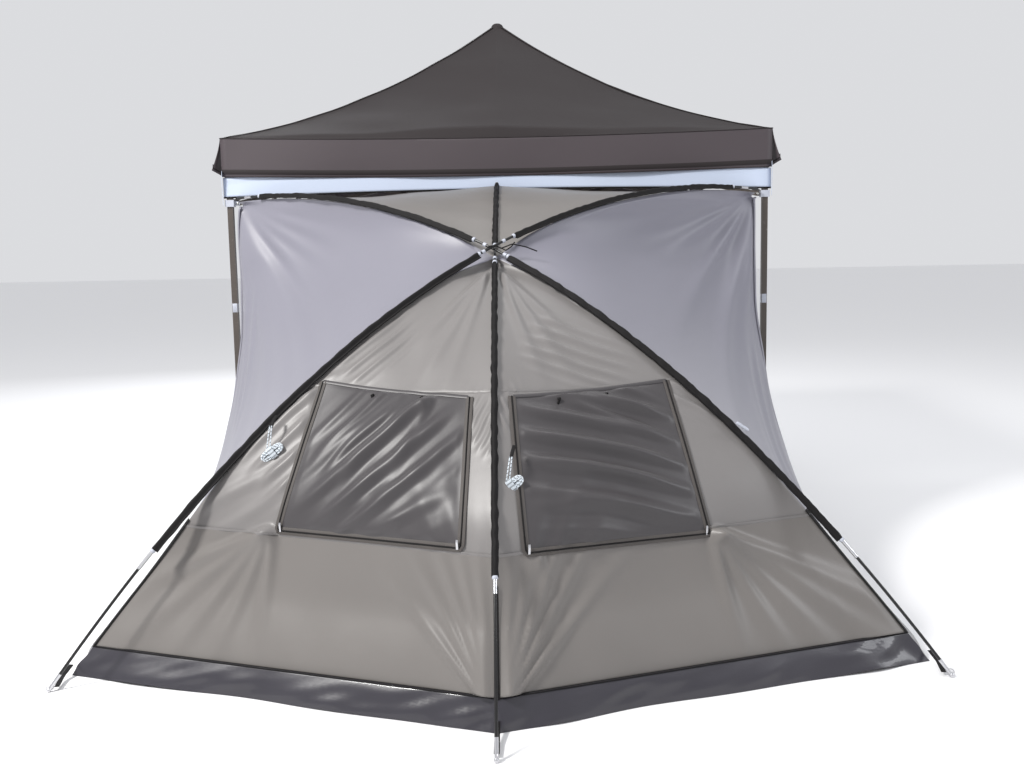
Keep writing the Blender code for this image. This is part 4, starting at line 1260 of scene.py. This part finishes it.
class SHELTER_OT_poles(bpy.types.Operator):
    """Makes the three tent poles with their ferrules, tips and sleeves"""

    bl_idname = "shelter.poles"
    bl_label = "Tent poles"

    def execute(self, context):
        sizes = context.scene.shelter_sizes
        poles = {"left": POLE_A, "right": POLE_B, "middle": POLE_C}
        for label, points in poles.items():
            rod = sweep(resample(points, 160), round_profile(POLE_RADIUS, 12), POLE_LIFT)
            sewn(f"pole_rod_{label}", [rod], "fibreglass", [f"tent_pole_{label}"])
            if label == "middle":
                along = distances(points)
                cross = along[int(np.argmin(np.linalg.norm(points - CROSS, axis=1)))]
                spans = [(0.62, cross - SLEEVE_OPEN * 0.8), (cross + SLEEVE_OPEN * 0.8, along[-1] - 0.03)]
                width = sizes.middle_sleeve
                ferrules = [(0.555, 0.055)]
            else:
                spans = [(SLEEVE_START, POLE_CROSS - SLEEVE_OPEN),
                         (POLE_CROSS + SLEEVE_OPEN, POLE_LENGTH - SLEEVE_END)]
                width = sizes.sleeve
                ferrules = [(SLEEVE_START - 0.095, 0.085), (POLE_LENGTH - 0.13, 0.05)]
            self.sleeves(label, points, outward(points), spans, width)
            self.metal(label, points, ferrules)
        self.crossing_ties()
        return {"FINISHED"}

    def sleeves(self, label, points, out, spans, width):
        """The sleeves over a pole, a pale ring at each mouth, and the bound edge below the lowest
        sleeve."""
        seed = {"left": 81, "right": 85, "middle": 88}[label]
        mouth = [(0, 0), (-0.001, 0.0092), (0.002, 0.0108), (0.009, 0.0108), (0.012, 0.009), (0.011, 0)]
        for k, (start, end) in enumerate(spans):
            path = stretch_of(points, start, end)
            nearest = np.argmin(np.linalg.norm(points[None] - path[:, None], axis=2), axis=1)
            sleeve = gathered(path, out[nearest], width, seed + k)
            sewn(f"pole_sleeve_{label}_{'lower' if k == 0 else 'upper'}", [sleeve], "sleeve polyester")
            ends = ((path[1], path[0]), (path[-2], path[-1]))
            rings = [turned(tip, unit(tip - before), mouth) for before, tip in ends]
            sewn(f"sleeve_rings_{label}_{k}", rings, "moulded nylon")
        edge = {"left": LOW_EDGES[-1], "right": LOW_EDGES[1], "middle": EDGES["c_low"]}[label]
        below = edge[edge[:, 2] < (0.62 if label != "middle" else 0.48)]
        below = below[below[:, 2] > SKIRT_Z - 0.01]
        away = unit(below - INSIDE)[np.linspace(0, len(below) - 1, 40).astype(int)]
        line = resample(below, 40)
        strip = sweep(line + 0.002 * away, slab_profile(0.018, 0.003), unit(line - INSIDE))
        sewn(f"edge_binding_{label}", [strip], "sleeve polyester")

    def metal(self, label, points, ferrules):
        """Ferrules where a pole's sections join, its metal tip, the pin and ring that hold the tip, and
        its strap."""
        parts = []
        for start, run, wall in [(*ferrule, 0.0016) for ferrule in ferrules] + [(0.0, 0.075, 0.0009)]:
            path = stretch_of(points, start, start + run)
            parts.append(sweep(path, round_profile(POLE_RADIUS + wall, 14), POLE_LIFT))
        foot, way = points[0], unit(points[0] - points[6])
        level = unit(np.array([way[0], way[1], 0]))
        axis = np.cross(level, [0, 0, 1])
        ring = ring_path(foot + [0, 0, 0.012] - 0.006 * level, axis + [0, 0, 0.4], 0.0135)
        parts.append(sweep(ring, round_profile(0.0018, 8), axis))
        pin = [(-0.0055, 0), (-0.005, 0.008), (0.004, 0.0095), (0.010, 0.006), (0.012, 0)]
        parts.append(turned(foot, (0, 0, 1), pin))
        sewn(f"pole_metal_{label}", parts, "drawn aluminium")
        corner = {"left": CORNER, "right": CORNER * MIRROR, "middle": NEAR_CORNER}[label]
        path = np.array([
            corner + [0, 0, 0.045],
            corner * 0.6 + foot * 0.4 + [0, 0, 0.022],
            foot - 0.03 * level + [0, 0, 0.010],
        ])
        strap = sweep(resample(path, 12), slab_profile(0.020, 0.0018), (0, -0.2, 1))
        sewn(f"foot_strap_{label}", [strap], "sleeve polyester")

    def crossing_ties(self):
        """At the crossing: pale hooks on the poles, and a short black tie that hangs to the right."""
        hooks = []
        middle = crossing(POLE_A)
        for points in (POLE_A, POLE_B, POLE_C):
            near = distances(points)[int(np.argmin(np.linalg.norm(points - middle, axis=1)))]
            for way in (-1, 1):
                piece = stretch_of(points, near + way * 0.058 - 0.008, near + way * 0.058 + 0.008)
                hooks.append(sweep(piece, round_profile(POLE_RADIUS + 0.0026, 12), POLE_LIFT))
        sewn("crossing_hooks", hooks, "moulded nylon")
        start = middle + [0.03, -0.012, -0.012]
        routes = (  # each tie's points from where it is knotted
            [(0, 0, 0), (0.05, -0.01, 0.018), (0.11, 0.004, 0.004), (0.16, 0.02, -0.016)],
            [(0, 0, 0), (0.02, -0.012, -0.01), (0.045, -0.006, 0.006), (0.06, 0.0, 0.026)],
            [(0, 0, 0), (-0.03, -0.012, 0.012), (-0.055, -0.006, 0.01), (-0.075, 0.01, -0.01)],
        )
        cord = round_profile(0.0028, 8)
        ties = [sweep(resample(start + np.array(route), 14), cord, (0, -1, 0)) for route in routes]
        sewn("crossing_tie", ties, "sleeve polyester")


class SHELTER_OT_back_wall(bpy.types.Operator):
    """Makes the tent's back wall, its doorway and the zipped door"""

    bl_idname = "shelter.back_wall"
    bl_label = "Back wall and door"

    def execute(self, context):
        sizes = context.scene.shelter_sizes
        door_low, door_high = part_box("tent_door")
        gap = 0.004
        bottom, top = door_low.z - gap, door_high.z + gap
        half = door_high.x + gap
        heights = np.concatenate([np.linspace(TUB_Z + 0.004, bottom, 4)[:-1], np.linspace(bottom, top, 60),
                                  np.linspace(top, FABRIC_TOP[2] - 0.012, 12)[1:]])
        edge = back_edge(heights)[:, 0] + 0.006
        left = edge[:, None] + (-half - edge)[:, None] * np.linspace(0, 1, 30)
        across = np.broadcast_to(np.linspace(-half, half, 30), (len(heights), 30))
        x = np.concatenate([left[:, :-1], across, -left[:, ::-1][:, 1:]], axis=1)
        z = np.broadcast_to(heights[:, None], x.shape)
        above = smooth((z - top) / (FABRIC_TOP[2] - top))
        rise = (RIDGE_TOP[2] - FABRIC_TOP[2]) * (1 - np.abs(x) / FABRIC_TOP[0]) * above
        free = smooth((np.abs(x) - half) / 0.15)
        y = WALL_Y - 0.004 * (0.5 + 0.5 * undulation(x, z, 41, 0.3, 0.9)) * free
        grid = np.stack([x, y, z + rise], -1)
        wall = build("back_wall_cloth", [grid], material("side nylon"))
        self.cut_doorway(wall, half, bottom, top)
        face_out(wall, INSIDE)
        tent_piece(thicken(wall, sizes.fabric), ["tent_back_wall"])
        edge_x, edge_low, edge_high = half + 0.011, bottom - 0.011, top + 0.011
        corners = np.array([[-edge_x, 0, edge_low], [-edge_x, 0, edge_high], [edge_x, 0, edge_high],
                            [edge_x, 0, edge_low], [-edge_x, 0, edge_low]]) + [0, WALL_Y + 0.003, 0]
        strips = [sweep(np.linspace(a, b, 20), slab_profile(0.020, 0.0024), (0, 1, 0))
                  for a, b in zip(corners, corners[1:])]
        sewn("doorway_tape", strips, "zip tape")
        self.door(door_low, door_high)
        return {"FINISHED"}

    def cut_doorway(self, wall, half, bottom, top):
        """Deletes the cells inside the doorway, whose edges lie on the grid's own lines."""
        bm = bmesh.new()
        bm.from_mesh(wall.data)
        middles = {face: face.calc_center_median() for face in bm.faces}
        inside = [face for face, at in middles.items() if abs(at.x) < half and bottom < at.z < top]
        bmesh.ops.delete(bm, geom=inside, context="FACES")
        bm.to_mesh(wall.data)
        bm.free()

    def door(self, low, high):
        """The door: a cloth panel with a mesh window, which rides its own body."""
        inset = 0.002
        x = np.linspace(low.x + inset, high.x - inset, 60)
        z = np.linspace(low.z + inset, high.z - inset, 90)
        X, Z = np.meshgrid(x, z)
        share_x = (X - low.x) / (high.x - low.x)
        share_z = (Z - low.z) / (high.z - low.z)
        bow = 0.0012 * undulation(X, Z, 44, 0.2, 0.6) * np.sin(math.pi * share_x) * np.sin(math.pi * share_z)
        grid = np.stack([X, WALL_Y + bow, Z], -1)
        own = dict(replaces=["tent_door"], body="tent_door", offset=0)
        panel = skin("door_cloth", grid, "front nylon", 0.0012, **own)
        inner = (share_x > 0.18) & (share_x < 0.82) & (share_z > 0.42) & (share_z < 0.9)
        rows, columns = np.where(inner.any(axis=1))[0], np.where(inner.any(axis=0))[0]
        net_grid = grid[rows[0] : rows[-1] + 1, columns[0] : columns[-1] + 1] + [0, 0.0018, 0]
        net = skin("door_mesh", net_grid, "insect mesh", 0.0006, body="tent_door", offset=0)
        ring = np.concatenate([net_grid[0], net_grid[1:, -1], net_grid[-1, ::-1][1:], net_grid[::-1, 0][1:]])
        hem = sweep(ring[::2], slab_profile(0.018, 0.0018), (0, 1, 0))
        sewn("door_mesh_tape", [hem], "zip tape", body="tent_door")


class SHELTER_OT_frame_finish(bpy.types.Operator):
    """Gives the gazebo's own parts their finishes, and adds rivets and leg bands"""

    bl_idname = "shelter.frame_finish"
    bl_label = "Frame"

    def execute(self, context):
        for name, part in frame["nodes"].items():
            if part.hide_render:
                continue
            steel = name.startswith(("leg_", "roof_bar", "truss", "peak"))
            finish = material("powder coated steel" if steel else "moulded nylon")
            part.data.materials.clear()
            part.data.materials.append(finish)
        self.rivets()
        self.leg_bands()
        return {"FINISHED"}

    def rivets(self):
        """A domed rivet through each pivot. A bar's far pivot mirrors its near one through the bar's
        middle, and bar b's pivots are bar a's with their heights changed over."""
        starts = {j["child"]: np.array(j["pos_m"]) for j in frame["joints"] if j["type"] == "hinge"}
        for bar in sorted(frame["bodies"]):
            if not (bar.endswith("_a") and bar.startswith(("roof_bar", "truss"))):
                continue
            near, mid = starts[bar], np.array(centre(bar))
            across = unit(np.ptp(np.array(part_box(bar)), axis=0) < 0.02) * 1.0
            mid_plane = near * across + mid * (1 - across)
            far = 2 * mid_plane - near
            swap = np.array([1, 1, 0])
            low_near = near * swap + far * (1 - swap)
            low_far = far * swap + near * (1 - swap)
            for name, ends in ((bar, (near, far)), (bar[:-1] + "b", (low_near, low_far))):
                offset = float((np.array(centre(name)) - near) @ across)
                way = np.sign(offset)
                parts = [self.rivet(end, across, -way * 0.0045, offset + way * 0.006) for end in ends]
                if name == bar:
                    parts.append(self.rivet(mid_plane, across, -0.014, 0.014))
                made = build(f"rivets_{name}", parts, material("zinc plated steel"), wrap=True, weld=True)
                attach(made, name)

    def rivet(self, spot, axis, start, end):
        """A pin between two distances along an axis, with a domed head at each end."""
        low, high = sorted((start, end))
        return turned(spot, axis, [
            (low - 0.0028, 0), (low - 0.0024, 0.0042), (low - 0.0004, 0.0068), (low, 0.0070),
            (low + 0.0001, 0.0035), (high - 0.0001, 0.0035),
            (high, 0.0070), (high + 0.0004, 0.0068), (high + 0.0024, 0.0042), (high + 0.0028, 0),
        ])

    def leg_bands(self):
        """A thin pale band round each outer leg, with softened edges."""
        half, soft = 0.0152, 0.00035
        low, high = BAND_MIDDLE - 0.024, BAND_MIDDLE + 0.024
        power = 10  # of the rounded square
        turn = np.linspace(0, 2 * math.pi, 40, endpoint=False)
        round_square = (np.abs(np.cos(turn)) ** power + np.abs(np.sin(turn)) ** power) ** (-1 / power)
        for corner in ("front_left", "front_right", "rear_left", "rear_right"):
            spot = np.array(centre(f"leg_inner_{corner}"))
            rows = []
            for z, grow in ((low, 0.0), (low + 0.0004, soft), (high - 0.0004, soft), (high, 0.0)):
                x = (half + grow) * round_square * np.cos(turn)
                y = (half + grow) * round_square * np.sin(turn)
                rows.append(np.stack([spot[0] + x, spot[1] + y, np.full_like(x, z)], -1))
            band = build(f"leg_band_{corner}", [np.array(rows)], material("moulded nylon"), wrap=True)
            face_out(band, (spot[0], spot[1], BAND_MIDDLE))
            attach(band, f"leg_outer_{corner}")


class SHELTER_PT_panel(bpy.types.Panel):
    """Lists the sizes, the colours and the steps"""

    bl_idname = "SHELTER_PT_panel"
    bl_label = "Screen House"
    bl_space_type = "VIEW_3D"
    bl_region_type = "UI"
    bl_category = "Screen House"

    def draw(self, context):
        for group in (context.scene.shelter_sizes, context.scene.shelter_colours):
            column = self.layout.column()
            for name in type(group).__annotations__:
                column.prop(group, name)
        for step in STEPS_IN_ORDER:
            self.layout.operator(step.bl_idname)


STEPS_IN_ORDER = (
    SHELTER_OT_stage,
    SHELTER_OT_guy_ropes,
    SHELTER_OT_canopy,
    SHELTER_OT_tent_skin,
    SHELTER_OT_windows,
    SHELTER_OT_tent_floor,
    SHELTER_OT_poles,
    SHELTER_OT_band,
    SHELTER_OT_back_wall,
    SHELTER_OT_frame_finish,
)
CLASSES = (ShelterSizes, ShelterColours, *STEPS_IN_ORDER, SHELTER_PT_panel)


def register():
    for cls in CLASSES:
        bpy.utils.register_class(cls)
    bpy.types.Scene.shelter_sizes = bpy.props.PointerProperty(type=ShelterSizes)
    bpy.types.Scene.shelter_colours = bpy.props.PointerProperty(type=ShelterColours)


def unregister():
    del bpy.types.Scene.shelter_sizes
    del bpy.types.Scene.shelter_colours
    for cls in reversed(CLASSES):
        bpy.utils.unregister_class(cls)


def main():
    for old in [o for o in bpy.data.objects if o.type in {"CAMERA", "LIGHT"} or o.name == "Cube"]:
        bpy.data.objects.remove(old, do_unlink=True)
    register()
    for step in STEPS_IN_ORDER:
        category, name = step.bl_idname.split(".")
        getattr(getattr(bpy.ops, category), name)()
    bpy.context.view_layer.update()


if __name__ == "__main__":
    main()
